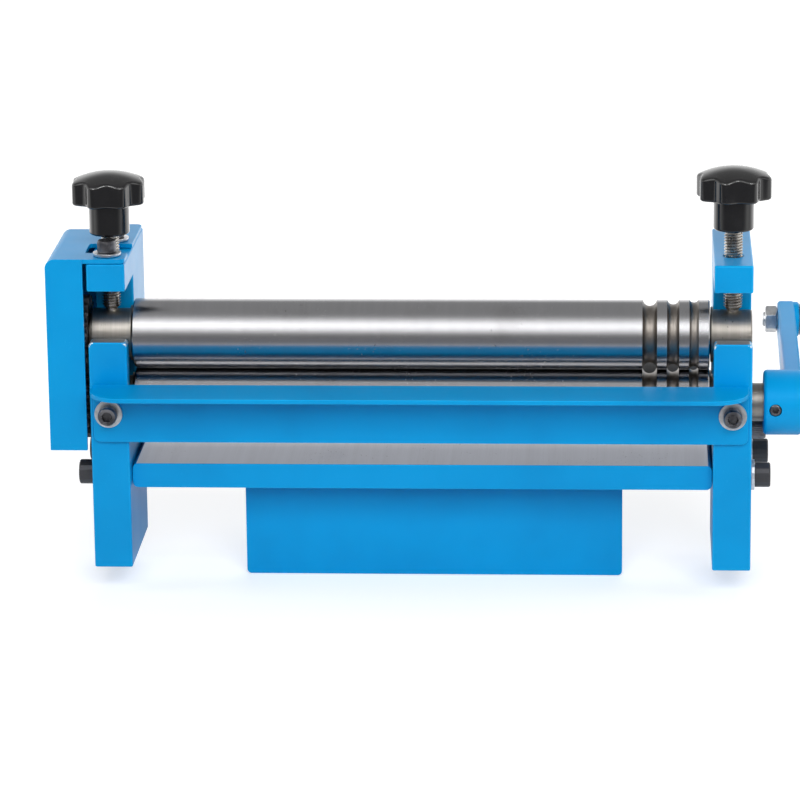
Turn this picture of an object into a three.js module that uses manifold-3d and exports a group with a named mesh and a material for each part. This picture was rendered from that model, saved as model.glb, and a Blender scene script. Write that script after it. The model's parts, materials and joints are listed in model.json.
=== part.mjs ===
// Slip roll machine for a bench vise: two side plates carry a geared pair of pinch rolls
// and a rear bending roll. Millimetres, +Z up, +X to the crank, -Y to the operator.
// The origin lies on the front face of the vise plate, midway between the side plates,
// level with the undersides of the legs.

import * as THREE from 'three';
import { mergeVertices } from 'three/addons/utils/BufferGeometryUtils.js';
import Module from 'manifold-3d';

const wasm = await Module();
wasm.setup();

// Clearances
const seatGap = 0.3;
const runGap = 0.3;
const slideGap = 0.2;
const cutPast = 2;

// Rolls and their journals
const rollRadius = 18;
const rollLength = 300;
const rollEndGap = 2;
const nipGap = 0.4;
const journalRadius = 10;
const gearSeatRadius = 8;
const rearJournalRadius = 8;
const rollChamfer = 0.6;
const wireGrooves = [
  { fromEnd: 31, width: 7.1, depth: 3.2 },
  { fromEnd: 18.9, width: 5.8, depth: 2.4 },
  { fromEnd: 8.1, width: 4.3, depth: 1.4 },
];

// Frame plates
const plateThickness = 20;
const legHeight = 41.5;
const legDepth = 71;
const bridgeHeight = 14.6;
const rearWall = 5.8;
const baseThickness = 13.1;
const baseSetback = 8;
const baseDepth = 68;
const baseCorner = 3;
const viseWidth = 200;
const viseThickness = 8;
const viseShift = 5;
const viseSetback = 35;
const viseDrop = 14;
const viseCorner = 2.5;
const weldLeg = 4;
const weldEndGap = 6;

// Places of the rolls, measured from the base plate and from one another
const baseTopZ = legHeight + baseThickness;
const rollFloorGap = 12.7;
const rollY = 23;
const lowerRollZ = baseTopZ + rollRadius + rollFloorGap;
const topRollZ = lowerRollZ + 2 * rollRadius + nipGap;
const rearFloorGap = 5;
const rearRollGap = 9;
const rearRollY = rollY + 2 * rollRadius + rearRollGap;
const rearRollZ = baseTopZ + rollRadius + rearFloorGap;

// Bushes and the travel of the top and rear rolls
const bushRadius = 13;
const rearBushRadius = 11;
const bushFlange = 1.5;
const bushFlangeStep = 1.5;
const liftTravel = 14.2;
const slipClearance = 0.7;
const feedTravel = 18;
const feedAngle = THREE.MathUtils.degToRad(25);

const innerX = rollLength / 2 + rollEndGap;
const outerX = innerX + plateThickness;
const plateX = innerX + plateThickness / 2;
const slotHalf = bushRadius + slideGap;
const rearSlotHalf = rearBushRadius + slideGap;
const headDepth = rearRollY + rearSlotHalf + rearWall;
const throatTopZ = topRollZ + bushRadius + liftTravel + seatGap;
const lipTopZ = topRollZ + liftTravel - bushRadius - slipClearance;
const plateTopZ = throatTopZ + bridgeHeight;

// Lift screws and star knobs
const liftScrewRadius = 4.9;
const spigotRadius = 3;
const spigotDepth = 1.6;
const knobRise = 11.3;
const rightKnobExtra = 2.9;
const knobHubRadius = 10.5;
const knobHubHeight = 16.6;
const knobRadius = 19.8;
const knobLobes = 8;
const knobWave = 0.14;
const knobWall = 11.4;
const knobDome = 5;
const knobGrip = 20;
const leftKnobTurn = THREE.MathUtils.degToRad(26.5);
const rightKnobTurn = THREE.MathUtils.degToRad(30);

// Spur gears, keys and clips on the left ends
const gearTeeth = 18;
const gearWidth = 12;
const gearSide = 1.5;
const gearBacklash = 0.3;
const keyWidth = 5;
const keyHeight = 5;
const keyLength = 10;
const keySink = 3;
const clipThickness = 1.2;
const clipRadius = 11;
const clipMouth = 9;
const clipGrooveDepth = 0.8;
const shaftTail = 1.6;

// Gear cover
const coverSheet = 2.3;
const coverDepth = 70;
const coverBottomZ = lowerRollZ - 21.5;
const coverSlit = 2;
const coverCorner = 5;
const coverShaftRoom = 2.6;
const flangeDepth = 82;
const notchBehind = 13;
const notchFront = 8;
const notchPast = 2.2;

// Front guard
const guardSheet = 2.35;
const guardRise = 14.6;
const guardHeight = 31.2;
const guardReach = 31.5;
const guardInset = 2;
const guardHalf = outerX - guardInset;
const guardCorner = 18;
const guardLowerCorner = 3.5;

// Tie bar between the plates
const tieRadius = 5;
const tieY = rollY + rollRadius + 1;
const tieZ = baseTopZ + 12;

// Crank
const crankLength = 125;
const crankAngle = THREE.MathUtils.degToRad(6);
const hubRadius = 17;
const hubLength = 20;
const hubGap = 6.3;
const armThickness = 9;
const armRoot = 12.5;
const armTip = 10;
const crankKeyWidth = 6;
const crankKeyHeight = 6;
const crankKeyLength = 16;
const crankKeySink = 3.5;
const gripLength = 80;
const gripStandoff = 3;
const gripRadius = 13;
const handleBoltRadius = 4;
const handleHeadRadius = 6.5;
const handleHeadHeight = 4.5;

// Standard fasteners: thread radius, head, hexagon socket and washer
const m6 = { radius: 3, head: 5, height: 6, socket: 5, washer: 7.3, washerThickness: 1.6 };
const m8 = { radius: 4, head: 6.5, height: 8, socket: 6, washer: 8, washerThickness: 1.6 };
const m8Nut = { across: 13, height: 6.5, room: 0.6 };
const baseScrewLength = 34;
const guardScrewLength = 8;
const coverScrewLength = 10;
const tieScrewLength = 34;
const screwFrontInset = 7.5;
const screwRearInset = 15;
const screwFrontY = baseSetback + screwFrontInset;
const screwRearY = baseSetback + baseDepth - screwRearInset;
const coverScrewFrontY = 9.5;
const coverScrewRearY = 44;
const rearScrewWall = 13.8;

// Counts of facets
const roundFacets = 32;
const smallFacets = 16;
const lobeFacets = 6;
const plateArcSteps = 6;
const cornerArcSteps = 2;

// Finishes
const finish = (color, roughness, metalness) =>
  new THREE.MeshStandardMaterial({ color, roughness, metalness });
const bluePaint = finish(0x009bdc, 0.35, 0);
const polishedSteel = finish(0xb9bbbe, 0.22, 1);
const turnedSteel = finish(0x9c9ea2, 0.38, 1);
const gearSteel = finish(0x6d6f73, 0.45, 1);
const blackOxide = finish(0x35353a, 0.45, 0.6);
const zincPlate = finish(0xc9ccd0, 0.3, 1);
const blackPlastic = finish(0x2b2b2d, 0.25, 0);

// Solids and booleans

function solid(geometry) {
  const bare = geometry.clone();
  bare.deleteAttribute('normal');
  bare.deleteAttribute('uv');
  const merged = mergeVertices(bare, 1e-4);
  const index = merged.index.array;
  const kept = [];
  for (let i = 0; i < index.length; i += 3) {
    const [a, b, c] = [index[i], index[i + 1], index[i + 2]];
    if (a !== b && b !== c && c !== a) kept.push(a, b, c);
  }
  return new wasm.Manifold(new wasm.Mesh({
    numProp: 3,
    vertProperties: new Float32Array(merged.attributes.position.array),
    triVerts: new Uint32Array(kept),
  }));
}

function geometryOf(body) {
  const mesh = body.getMesh();
  const geometry = new THREE.BufferGeometry();
  geometry.setAttribute('position', new THREE.BufferAttribute(mesh.vertProperties, 3));
  geometry.setIndex(new THREE.BufferAttribute(mesh.triVerts, 1));
  geometry.computeVertexNormals();
  return geometry;
}

function cut(body, ...tools) {
  return tools.reduce((left, tool) => left.subtract(tool), body);
}

function join(body, ...others) {
  return others.reduce((sum, other) => sum.add(other), body);
}

// A profile of [radius, height] points turned about the Z axis
function turned(profile, facets = roundFacets) {
  const points = profile.map(([radius, height]) => new THREE.Vector2(radius, height));
  return solid(new THREE.LatheGeometry(points, facets).rotateX(Math.PI / 2));
}

// The same, with the profile's heights along +X
function turnedAlongX(profile, facets = roundFacets) {
  const points = profile.map(([radius, along]) => new THREE.Vector2(radius, along));
  return solid(new THREE.LatheGeometry(points, facets).rotateZ(-Math.PI / 2));
}

function rodZ(radius, low, high, facets = smallFacets) {
  return turned([[0, low], [radius, low], [radius, high], [0, high]], facets);
}

function rodX(radius, low, high, facets = smallFacets) {
  return turnedAlongX([[0, low], [radius, low], [radius, high], [0, high]], facets);
}

function rodY(radius, low, high, facets = smallFacets) {
  return rodZ(radius, -high, -low, facets).rotate([90, 0, 0]);
}

function block([x0, y0, z0], [x1, y1, z1]) {
  const geometry = new THREE.BoxGeometry(x1 - x0, y1 - y0, z1 - z0);
  return solid(geometry.translate((x0 + x1) / 2, (y0 + y1) / 2, (z0 + z1) / 2));
}

// A Y-Z outline given thickness along X
function slabX(shape, low, high, curveSegments = plateArcSteps) {
  const geometry = new THREE.ExtrudeGeometry(shape, {
    depth: high - low, bevelEnabled: false, curveSegments,
  });
  geometry.applyMatrix4(new THREE.Matrix4().makeBasis(
    new THREE.Vector3(0, 1, 0), new THREE.Vector3(0, 0, 1), new THREE.Vector3(1, 0, 0)));
  return solid(geometry.translate(low, 0, 0));
}

// An X-Z outline given thickness along Y
function slabY(shape, low, high, curveSegments = cornerArcSteps) {
  const geometry = new THREE.ExtrudeGeometry(shape, {
    depth: high - low, bevelEnabled: false, curveSegments,
  });
  return solid(geometry.rotateX(Math.PI / 2).translate(0, high, 0));
}

// An X-Y outline given thickness along Z
function slabZ(shape, low, high, curveSegments = plateArcSteps) {
  const geometry = new THREE.ExtrudeGeometry(shape, {
    depth: high - low, bevelEnabled: false, curveSegments,
  });
  return solid(geometry.translate(0, 0, low));
}

function roundedRectangle(x0, y0, x1, y1, radius) {
  const shape = new THREE.Shape();
  shape.moveTo(x0 + radius, y0);
  shape.lineTo(x1 - radius, y0);
  shape.absarc(x1 - radius, y0 + radius, radius, -Math.PI / 2, 0);
  shape.lineTo(x1, y1 - radius);
  shape.absarc(x1 - radius, y1 - radius, radius, 0, Math.PI / 2);
  shape.lineTo(x0 + radius, y1);
  shape.absarc(x0 + radius, y1 - radius, radius, Math.PI / 2, Math.PI);
  shape.lineTo(x0, y0 + radius);
  shape.absarc(x0 + radius, y0 + radius, radius, Math.PI, 1.5 * Math.PI);
  return shape;
}

function hexagon(across) {
  const corner = across / Math.sqrt(3);
  const points = [];
  for (let i = 0; i < 6; i += 1) {
    const angle = (i * Math.PI) / 3;
    points.push(new THREE.Vector2(corner * Math.cos(angle), corner * Math.sin(angle)));
  }
  return new THREE.Shape(points);
}

// Fasteners stand along +Z, the head's seat at height 0

function capScrew(size, length) {
  const edge = size.radius * 0.15;
  const body = turned([
    [0, -length], [size.radius - edge, -length], [size.radius, -length + edge],
    [size.radius, 0], [size.head, 0], [size.head, size.height - edge],
    [size.head - edge, size.height], [0, size.height],
  ], smallFacets);
  return cut(body, slabZ(hexagon(size.socket), size.height / 2, size.height + cutPast));
}

function washer(size) {
  const hole = size.radius + seatGap;
  return turned([
    [hole, 0], [size.washer, 0], [size.washer, size.washerThickness],
    [hole, size.washerThickness], [hole, 0],
  ], smallFacets);
}

function turnX(body, degrees) {
  return body.rotate([degrees, 0, 0]);
}

function turnY(body, degrees) {
  return body.rotate([0, degrees, 0]);
}

function turnZ(body, degrees) {
  return body.rotate([0, 0, degrees]);
}

const machine = new THREE.Group();

function addPiece(name, body, material, place = [0, 0, 0], turn = [0, 0, 0]) {
  const mesh = new THREE.Mesh(geometryOf(body), material);
  mesh.name = name;
  mesh.position.set(...place);
  mesh.rotation.set(...turn);
  machine.add(mesh);
}

// Directions of the slanted rear slots: up the slot, and its two ends
const feedDirection = [-Math.sin(feedAngle), Math.cos(feedAngle)];
const shoulderDistance = rearSlotHalf + rearScrewWall;
const feedDegrees = THREE.MathUtils.radToDeg(feedAngle);

function alongFeed(distance) {
  return [rearRollY + feedDirection[0] * distance, rearRollZ + feedDirection[1] * distance];
}

// The height at depth y of the slanted shoulder that the rear screws come out of
function shoulderZ(y) {
  const [shoulderY, z] = alongFeed(-shoulderDistance);
  return z + (y - shoulderY) * Math.tan(feedAngle);
}

// Side plates: one outline, with a throat open to the front and a slanted rear slot
function plateOutline() {
  const shape = new THREE.Shape();
  shape.moveTo(0, 0);
  shape.lineTo(legDepth, 0);
  shape.lineTo(legDepth, shoulderZ(legDepth));
  shape.lineTo(headDepth, shoulderZ(headDepth));
  shape.lineTo(headDepth, plateTopZ);
  shape.lineTo(0, plateTopZ);
  shape.lineTo(0, throatTopZ);
  shape.lineTo(rollY + slotHalf, throatTopZ);
  shape.lineTo(rollY + slotHalf, lowerRollZ);
  shape.absarc(rollY, lowerRollZ, slotHalf, 0, -Math.PI, true);
  shape.lineTo(rollY - slotHalf, lipTopZ);
  shape.lineTo(0, lipTopZ);
  shape.closePath();
  const slot = new THREE.Path();
  const [topY, topZ] = alongFeed(feedTravel + slideGap);
  slot.absarc(rearRollY, rearRollZ, rearSlotHalf, feedAngle, feedAngle - Math.PI, true);
  slot.absarc(topY, topZ, rearSlotHalf, feedAngle + Math.PI, feedAngle, true);
  slot.closePath();
  shape.holes.push(slot);
  return shape;
}

function rearScrewHole() {
  const hole = rodZ(m8.radius + seatGap, -shoulderDistance - 3 * cutPast, -rearBushRadius + cutPast);
  return turnX(hole, feedDegrees).translate([0, rearRollY, rearRollZ]);
}

// Room under the slanted shoulder for the lock nut and the screw's head, where the leg is deep
function lockNutRoom() {
  const radius = m8Nut.across / Math.sqrt(3) + m8Nut.room;
  const room = rodZ(radius, -shoulderDistance - m8Nut.height - feedTravel - 2 * m8.height, -shoulderDistance);
  return turnX(room, feedDegrees).translate([0, rearRollY, rearRollZ]);
}

function plateHoles() {
  const reach = plateThickness / 2 + cutPast;
  const m8Hole = rodX(m8.radius + seatGap, -reach, reach);
  const liftHole = rodZ(liftScrewRadius + runGap, throatTopZ - cutPast, plateTopZ + cutPast);
  const guardHole = rodY(m6.radius + seatGap, -cutPast, guardScrewLength + 2 * seatGap);
  return [
    m8Hole.translate([0, screwFrontY, baseTopZ - baseThickness / 2]),
    m8Hole.translate([0, screwRearY, baseTopZ - baseThickness / 2]),
    m8Hole.translate([0, tieY, tieZ]),
    liftHole.translate([0, rollY, 0]),
    rearScrewHole(),
    lockNutRoom(),
    guardHole,
  ];
}

const guardBottomZ = baseTopZ + guardRise;
const guardScrewZ = guardBottomZ + guardHeight / 2;
const guardScrewX = plateX;

function sidePlate(isLeft) {
  const half = plateThickness / 2;
  const holes = plateHoles();
  const guardHole = holes.pop().translate([0, 0, guardScrewZ]);
  let plate = cut(slabX(plateOutline(), -half, half), ...holes, guardHole);
  if (isLeft) {
    const depth = coverScrewLength + 2 * seatGap;
    const coverHole = rodZ(m6.radius + seatGap, plateTopZ - depth, plateTopZ + cutPast);
    const sink = m8.head + seatGap;
    const countersink = turnedAlongX([
      [0, -half - cutPast], [sink + cutPast, -half - cutPast], [0, -half + sink],
    ], smallFacets);
    plate = cut(plate,
      coverHole.translate([0, coverScrewFrontY, 0]),
      coverHole.translate([0, coverScrewRearY, 0]),
      countersink.translate([0, tieY, tieZ]));
  }
  return plate;
}

addPiece('left_side_plate', sidePlate(true), bluePaint, [-plateX, 0, 0]);
addPiece('right_side_plate', sidePlate(false), bluePaint, [plateX, 0, 0]);

// Base plate, screwed through the side plates into its ends
const baseHalf = innerX - slideGap;
const baseScrewZ = baseTopZ - baseThickness / 2;
const baseThread = baseScrewLength - plateThickness - slideGap;

function basePlate() {
  const outline = roundedRectangle(-baseHalf, legHeight, baseHalf, baseTopZ, baseCorner);
  const slab = slabY(outline, baseSetback, baseSetback + baseDepth);
  const hole = rodX(m8.radius + seatGap, -baseThread - 2, cutPast);
  const holes = [];
  for (const y of [screwFrontY, screwRearY]) {
    holes.push(hole.translate([baseHalf, y, baseScrewZ]));
    holes.push(turnZ(hole, 180).translate([-baseHalf, y, baseScrewZ]));
  }
  return cut(slab, ...holes);
}

addPiece('base_plate', basePlate(), bluePaint);

// Vise plate, welded under the base plate with a fillet on each side
const viseTopZ = legHeight - seatGap;
const visePlate = slabY(
  roundedRectangle(-viseWidth / 2, -viseDrop, viseWidth / 2, viseTopZ, viseCorner),
  viseSetback, viseSetback + viseThickness);
addPiece('vise_plate', visePlate, bluePaint, [viseShift, 0, 0]);

function weldBead() {
  const section = new THREE.Shape();
  section.moveTo(0, 0);
  section.lineTo(weldLeg, 0);
  section.quadraticCurveTo(weldLeg * 0.35, -weldLeg * 0.35, 0, -weldLeg);
  section.closePath();
  const half = viseWidth / 2 - weldEndGap;
  return slabX(section, -half, half, cornerArcSteps);
}

addPiece('vise_weld_rear', weldBead(), bluePaint,
  [viseShift, viseSetback + viseThickness + seatGap, viseTopZ]);
addPiece('vise_weld_front', weldBead(), bluePaint,
  [viseShift, viseSetback - seatGap, viseTopZ], [0, 0, Math.PI]);

// Base screws: black cap screws, with washers on the crank side
const m8Seat = outerX + seatGap;
const m8WasherTop = m8Seat + m8.washerThickness;
const quarterTurn = Math.PI / 2;
const toRight = [0, quarterTurn, 0];
const toLeft = [0, -quarterTurn, 0];
const toFront = [quarterTurn, 0, 0];
for (const [place, y] of [['front', screwFrontY], ['rear', screwRearY]]) {
  addPiece(`base_screw_left_${place}`, capScrew(m8, baseScrewLength), blackOxide,
    [-m8Seat, y, baseScrewZ], toLeft);
  addPiece(`base_screw_right_${place}`, capScrew(m8, baseScrewLength + m8.washerThickness),
    blackOxide, [m8WasherTop + seatGap, y, baseScrewZ], toRight);
  addPiece(`base_washer_right_${place}`, washer(m8), zincPlate,
    [m8Seat, y, baseScrewZ], toRight);
}

// Tie bar, held by a cap screw on the crank side and a flush screw beside the gears
const tieHalf = innerX - seatGap;
const tieThread = tieScrewLength - plateThickness - 2 * seatGap;

function tieBar() {
  const hole = rodX(m8.radius * 0.75 + seatGap, tieHalf - tieThread - 2, tieHalf + cutPast, smallFacets);
  return cut(rodX(tieRadius, -tieHalf, tieHalf, smallFacets), hole, turnZ(hole, 180));
}

const tieScrewSize = { ...m8, radius: m8.radius * 0.75 };
addPiece('tie_bar', tieBar(), turnedSteel, [0, tieY, tieZ]);
addPiece('tie_screw_right', capScrew(tieScrewSize, tieScrewLength), blackOxide,
  [m8Seat, tieY, tieZ], toRight);

function flushScrew() {
  const { radius, head, socket } = tieScrewSize;
  const cone = head - radius;
  const body = turned([
    [0, -tieScrewLength], [radius, -tieScrewLength], [radius, -cone - seatGap],
    [head - seatGap, -seatGap], [0, -seatGap],
  ], smallFacets);
  return cut(body, slabZ(hexagon(socket * 0.8), -cone, cutPast));
}

addPiece('tie_screw_left', flushScrew(), blackOxide, [-outerX, tieY, tieZ], toLeft);

// Front guard: a folded sheet over the plates' front faces, its lip towards the operator
function frontGuard() {
  const wall = slabY(
    roundedRectangle(-guardHalf, guardBottomZ, guardHalf, guardBottomZ + guardHeight,
      guardLowerCorner),
    -seatGap - guardSheet, -seatGap);
  const lipZ = guardBottomZ + guardHeight;
  const lip = new THREE.Shape();
  lip.moveTo(guardHalf, -seatGap);
  lip.lineTo(-guardHalf, -seatGap);
  lip.lineTo(-guardHalf, -guardReach + guardCorner);
  lip.absarc(-guardHalf + guardCorner, -guardReach + guardCorner, guardCorner,
    Math.PI, 1.5 * Math.PI);
  lip.lineTo(guardHalf - guardCorner, -guardReach);
  lip.absarc(guardHalf - guardCorner, -guardReach + guardCorner, guardCorner,
    1.5 * Math.PI, 2 * Math.PI);
  lip.closePath();
  const upper = block(
    [-guardHalf, -seatGap - guardSheet, lipZ - guardLowerCorner - 1],
    [guardHalf, -seatGap, lipZ]);
  const hole = rodY(m6.radius + seatGap, -guardReach, cutPast);
  return cut(join(wall, upper, slabZ(lip, lipZ - guardSheet, lipZ)),
    hole.translate([guardScrewX, 0, guardScrewZ]),
    hole.translate([-guardScrewX, 0, guardScrewZ]));
}

addPiece('front_guard', frontGuard(), bluePaint);

const guardWasherY = -guardSheet - 2 * seatGap;
const guardHeadY = guardWasherY - m6.washerThickness - seatGap;
for (const [side, x] of [['left', -guardScrewX], ['right', guardScrewX]]) {
  addPiece(`guard_washer_${side}`, washer(m6), zincPlate, [x, guardWasherY, guardScrewZ], toFront);
  addPiece(`guard_screw_${side}`, capScrew(m6, guardScrewLength - guardHeadY), blackOxide,
    [x, guardHeadY, guardScrewZ], toFront);
}

// Gear cover: a folded box open towards the plate and below, hung from its top flange
const coverRoom = gearSide + gearWidth + seatGap + clipThickness + shaftTail + coverShaftRoom;
const coverOuterX = outerX + coverRoom + coverSheet;
const coverTopZ = plateTopZ + seatGap + coverSheet;

function gearCover() {
  const outline = new THREE.Shape();
  outline.moveTo(-coverOuterX, coverBottomZ);
  outline.lineTo(-outerX - slideGap, coverBottomZ);
  outline.lineTo(-outerX - slideGap, coverTopZ);
  outline.lineTo(-coverOuterX + coverCorner, coverTopZ);
  outline.absarc(-coverOuterX + coverCorner, coverTopZ - coverCorner, coverCorner,
    Math.PI / 2, Math.PI);
  outline.closePath();
  const box = slabY(outline, 0, coverDepth);
  const inner = new THREE.Shape();
  const cornerInside = coverCorner - coverSheet;
  inner.moveTo(-coverOuterX + coverSheet, coverBottomZ - cutPast);
  inner.lineTo(-outerX + cutPast, coverBottomZ - cutPast);
  inner.lineTo(-outerX + cutPast, coverTopZ - coverSheet);
  inner.lineTo(-coverOuterX + coverCorner, coverTopZ - coverSheet);
  inner.absarc(-coverOuterX + coverCorner, coverTopZ - coverCorner, cornerInside,
    Math.PI / 2, Math.PI);
  inner.closePath();
  const hollow = slabY(inner, coverSheet, coverDepth - coverSheet);
  const slit = block(
    [-outerX - coverSlit, -cutPast, coverBottomZ - cutPast],
    [-outerX + cutPast, coverSheet + cutPast, coverTopZ - coverSheet]);
  const flangeHigh = plateTopZ + seatGap;
  const flange = block([-outerX - coverSheet, 0, flangeHigh], [-innerX, flangeDepth, coverTopZ]);
  const notch = block(
    [-outerX - notchPast, rollY - notchFront, flangeHigh - cutPast],
    [-innerX + cutPast, rollY + notchBehind, coverTopZ + cutPast]);
  const hole = rodZ(m6.radius + seatGap, flangeHigh - cutPast, coverTopZ + cutPast);
  return cut(join(cut(box, hollow, slit), flange), notch,
    hole.translate([-plateX, coverScrewFrontY, 0]),
    hole.translate([-plateX, coverScrewRearY, 0]));
}

addPiece('gear_cover', gearCover(), bluePaint);

const coverWasherZ = coverTopZ + seatGap;
const coverHeadZ = coverWasherZ + m6.washerThickness + seatGap;
for (const [place, y] of [['front', coverScrewFrontY], ['rear', coverScrewRearY]]) {
  addPiece(`cover_washer_${place}`, washer(m6), zincPlate, [-plateX, y, coverWasherZ]);
  addPiece(`cover_screw_${place}`, capScrew(m6, coverHeadZ - plateTopZ + coverScrewLength),
    blackOxide, [-plateX, y, coverHeadZ]);
}

// Flanged bushes: the barrel fills the plate's thickness, the flange faces the roll's end
function bush(radius, bore, hasScrewSeat, seatTurn = 0) {
  const inside = bore + runGap;
  const body = turnedAlongX([
    [inside, -plateThickness / 2 - bushFlange], [radius + bushFlangeStep, -plateThickness / 2 - bushFlange],
    [radius + bushFlangeStep, -plateThickness / 2 - slideGap], [radius, -plateThickness / 2 - slideGap],
    [radius, plateThickness / 2], [inside, plateThickness / 2],
    [inside, -plateThickness / 2 - bushFlange],
  ]);
  if (!hasScrewSeat) return body;
  const hole = rodZ(spigotRadius + runGap, radius - spigotDepth - runGap, radius + cutPast);
  return cut(body, turnX(hole, seatTurn));
}

function addBushPair(name, place, radius, bore, hasScrewSeat, seatTurn) {
  const piece = bush(radius, bore, hasScrewSeat, seatTurn);
  addPiece(`${name}_right`, piece, turnedSteel, [plateX, ...place]);
  addPiece(`${name}_left`, piece.mirror([1, 0, 0]), turnedSteel, [-plateX, ...place]);
}

addBushPair('lower_bush', [rollY, lowerRollZ], bushRadius, journalRadius, false);
addBushPair('top_bush', [rollY, topRollZ], bushRadius, journalRadius, true);
addBushPair('rear_bush', [rearRollY, rearRollZ], rearBushRadius, rearJournalRadius, true,
  feedDegrees + 180);

// Rolls, along X from the gear end to the crank end
const bodyHalf = rollLength / 2;
const gearInX = outerX + gearSide;
const gearOutX = gearInX + gearWidth;
const clipX = gearOutX + seatGap;
const shaftEndX = clipX + clipThickness + shaftTail;

function gearEndProfile() {
  const seat = gearSeatRadius;
  const groove = seat - clipGrooveDepth;
  return [
    [0, -shaftEndX], [seat - rollChamfer, -shaftEndX], [seat, -shaftEndX + rollChamfer],
    [seat, -clipX - clipThickness - seatGap], [groove, -clipX - clipThickness - seatGap],
    [groove, -clipX + seatGap], [seat, -clipX + seatGap],
    [seat, -gearInX + seatGap], [journalRadius, -gearInX + seatGap],
    [journalRadius, -bodyHalf], [rollRadius - rollChamfer, -bodyHalf],
    [rollRadius, -bodyHalf + rollChamfer],
  ];
}

// Three hollows near the crank end for rolling wire
function grooveProfile() {
  const points = [];
  const steps = 3;
  for (const { fromEnd, width, depth } of wireGrooves) {
    for (let i = 0; i <= steps; i += 1) {
      const across = (i / steps - 0.5) * width;
      const dip = depth * Math.sin((i / steps) * Math.PI);
      points.push([rollRadius - dip, bodyHalf - fromEnd + across]);
    }
  }
  return points;
}

function crankEndProfile(endX) {
  return [
    [rollRadius, bodyHalf - rollChamfer], [rollRadius - rollChamfer, bodyHalf],
    [journalRadius, bodyHalf], [journalRadius, endX - rollChamfer],
    [journalRadius - rollChamfer, endX], [0, endX],
  ];
}

const keyMidX = (gearInX + gearOutX) / 2;

function keySeat(width, length, sink, radius) {
  const half = width / 2 + slideGap;
  return block([-length / 2 - slideGap, -half, radius - sink], [length / 2 + slideGap, half, radius + 9]);
}

function gearedRoll(endX) {
  const body = turnedAlongX([...gearEndProfile(), ...grooveProfile(), ...crankEndProfile(endX)]);
  const seat = keySeat(keyWidth, keyLength, keySink, gearSeatRadius);
  return cut(body, seat.translate([-keyMidX, 0, 0]));
}

const hubStartX = outerX + hubGap;
const hubEndX = hubStartX + hubLength;
const driveShaftEndX = hubEndX - 1;
const crankKeyX = hubStartX + hubLength / 2;

const crankKeySeat = keySeat(crankKeyWidth, crankKeyLength, crankKeySink, journalRadius);
addPiece('drive_roll', cut(gearedRoll(driveShaftEndX), crankKeySeat.translate([crankKeyX, 0, 0])),
  polishedSteel, [0, rollY, lowerRollZ]);
addPiece('top_roll', gearedRoll(outerX), polishedSteel, [0, rollY, topRollZ]);

function rearRoll() {
  const r = rearJournalRadius;
  return turnedAlongX([
    [0, -outerX], [r, -outerX], [r, -bodyHalf], [rollRadius - rollChamfer, -bodyHalf],
    [rollRadius, -bodyHalf + rollChamfer], [rollRadius, bodyHalf - rollChamfer],
    [rollRadius - rollChamfer, bodyHalf], [r, bodyHalf], [r, outerX], [0, outerX],
  ]);
}

addPiece('rear_roll', rearRoll(), polishedSteel, [0, rearRollY, rearRollZ]);

// Spur gears with involute flanks
const gearModule = (2 * rollRadius) / gearTeeth;

function gearOutline() {
  const pitchRadius = rollRadius;
  const baseRadius = pitchRadius * Math.cos(THREE.MathUtils.degToRad(20));
  const tipRadius = pitchRadius + gearModule;
  const rootRadius = pitchRadius - 1.25 * gearModule;
  const involute = (radius) => {
    const turn = Math.acos(Math.min(1, baseRadius / radius));
    return Math.tan(turn) - turn;
  };
  const halfTooth = Math.PI / (2 * gearTeeth) - gearBacklash / (2 * pitchRadius);
  const points = [];
  for (let tooth = 0; tooth < gearTeeth; tooth += 1) {
    const middle = (tooth * 2 * Math.PI) / gearTeeth;
    const flank = [];
    for (let i = 0; i <= 3; i += 1) {
      const radius = baseRadius + ((tipRadius - baseRadius) * i) / 3;
      flank.push([radius, halfTooth + involute(pitchRadius) - involute(radius)]);
    }
    const rootTurn = flank[0][1];
    const rising = [[rootRadius, rootTurn], ...flank];
    const at = ([radius, turn], side) => new THREE.Vector2(
      radius * Math.cos(middle + side * turn), radius * Math.sin(middle + side * turn));
    rising.forEach((point) => points.push(at(point, -1)));
    rising.reverse().forEach((point) => points.push(at(point, 1)));
  }
  return new THREE.Shape(points);
}

// The teeth start from one that points up, turned by half pitches
function spurGear(halfPitches) {
  const halfPitch = 180 / gearTeeth;
  const toothUp = 90;
  const turn = toothUp + halfPitches * halfPitch;
  const slab = turnX(slabX(gearOutline(), -gearWidth / 2, gearWidth / 2), turn);
  const bore = rodX(gearSeatRadius + slideGap, -gearWidth, gearWidth);
  const high = gearSeatRadius - keySink + keyHeight + seatGap;
  const half = keyWidth / 2 + slideGap;
  return cut(slab, bore, block([-gearWidth, -half, 0], [gearWidth, half, high]));
}

function spreadKey(width, height, length, sink, radius) {
  const low = radius - sink + slideGap / 2;
  return block([-length / 2, -width / 2, low], [length / 2, width / 2, low + height]);
}

function clip() {
  const inside = gearSeatRadius - clipGrooveDepth + slideGap;
  const ring = turnedAlongX([
    [inside, 0], [clipRadius, 0], [clipRadius, clipThickness], [inside, clipThickness], [inside, 0],
  ], smallFacets);
  return cut(ring, block([-cutPast, -clipMouth / 2, -2 * clipRadius], [cutPast * 2, clipMouth / 2, 0]));
}

// The drive gear has a tooth upwards, and the top gear a tooth gap downwards
function addGearSet(name, z, halfPitches) {
  const key = spreadKey(keyWidth, keyHeight, keyLength, keySink, gearSeatRadius);
  addPiece(`${name}_gear`, spurGear(halfPitches), gearSteel, [-keyMidX, rollY, z]);
  addPiece(`${name}_gear_key`, key, turnedSteel, [-keyMidX, rollY, z]);
  addPiece(`${name}_gear_clip`, clip(), blackOxide, [-clipX - clipThickness, rollY, z]);
}

addGearSet('drive', lowerRollZ, 0);
addGearSet('top', topRollZ, 1);

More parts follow.
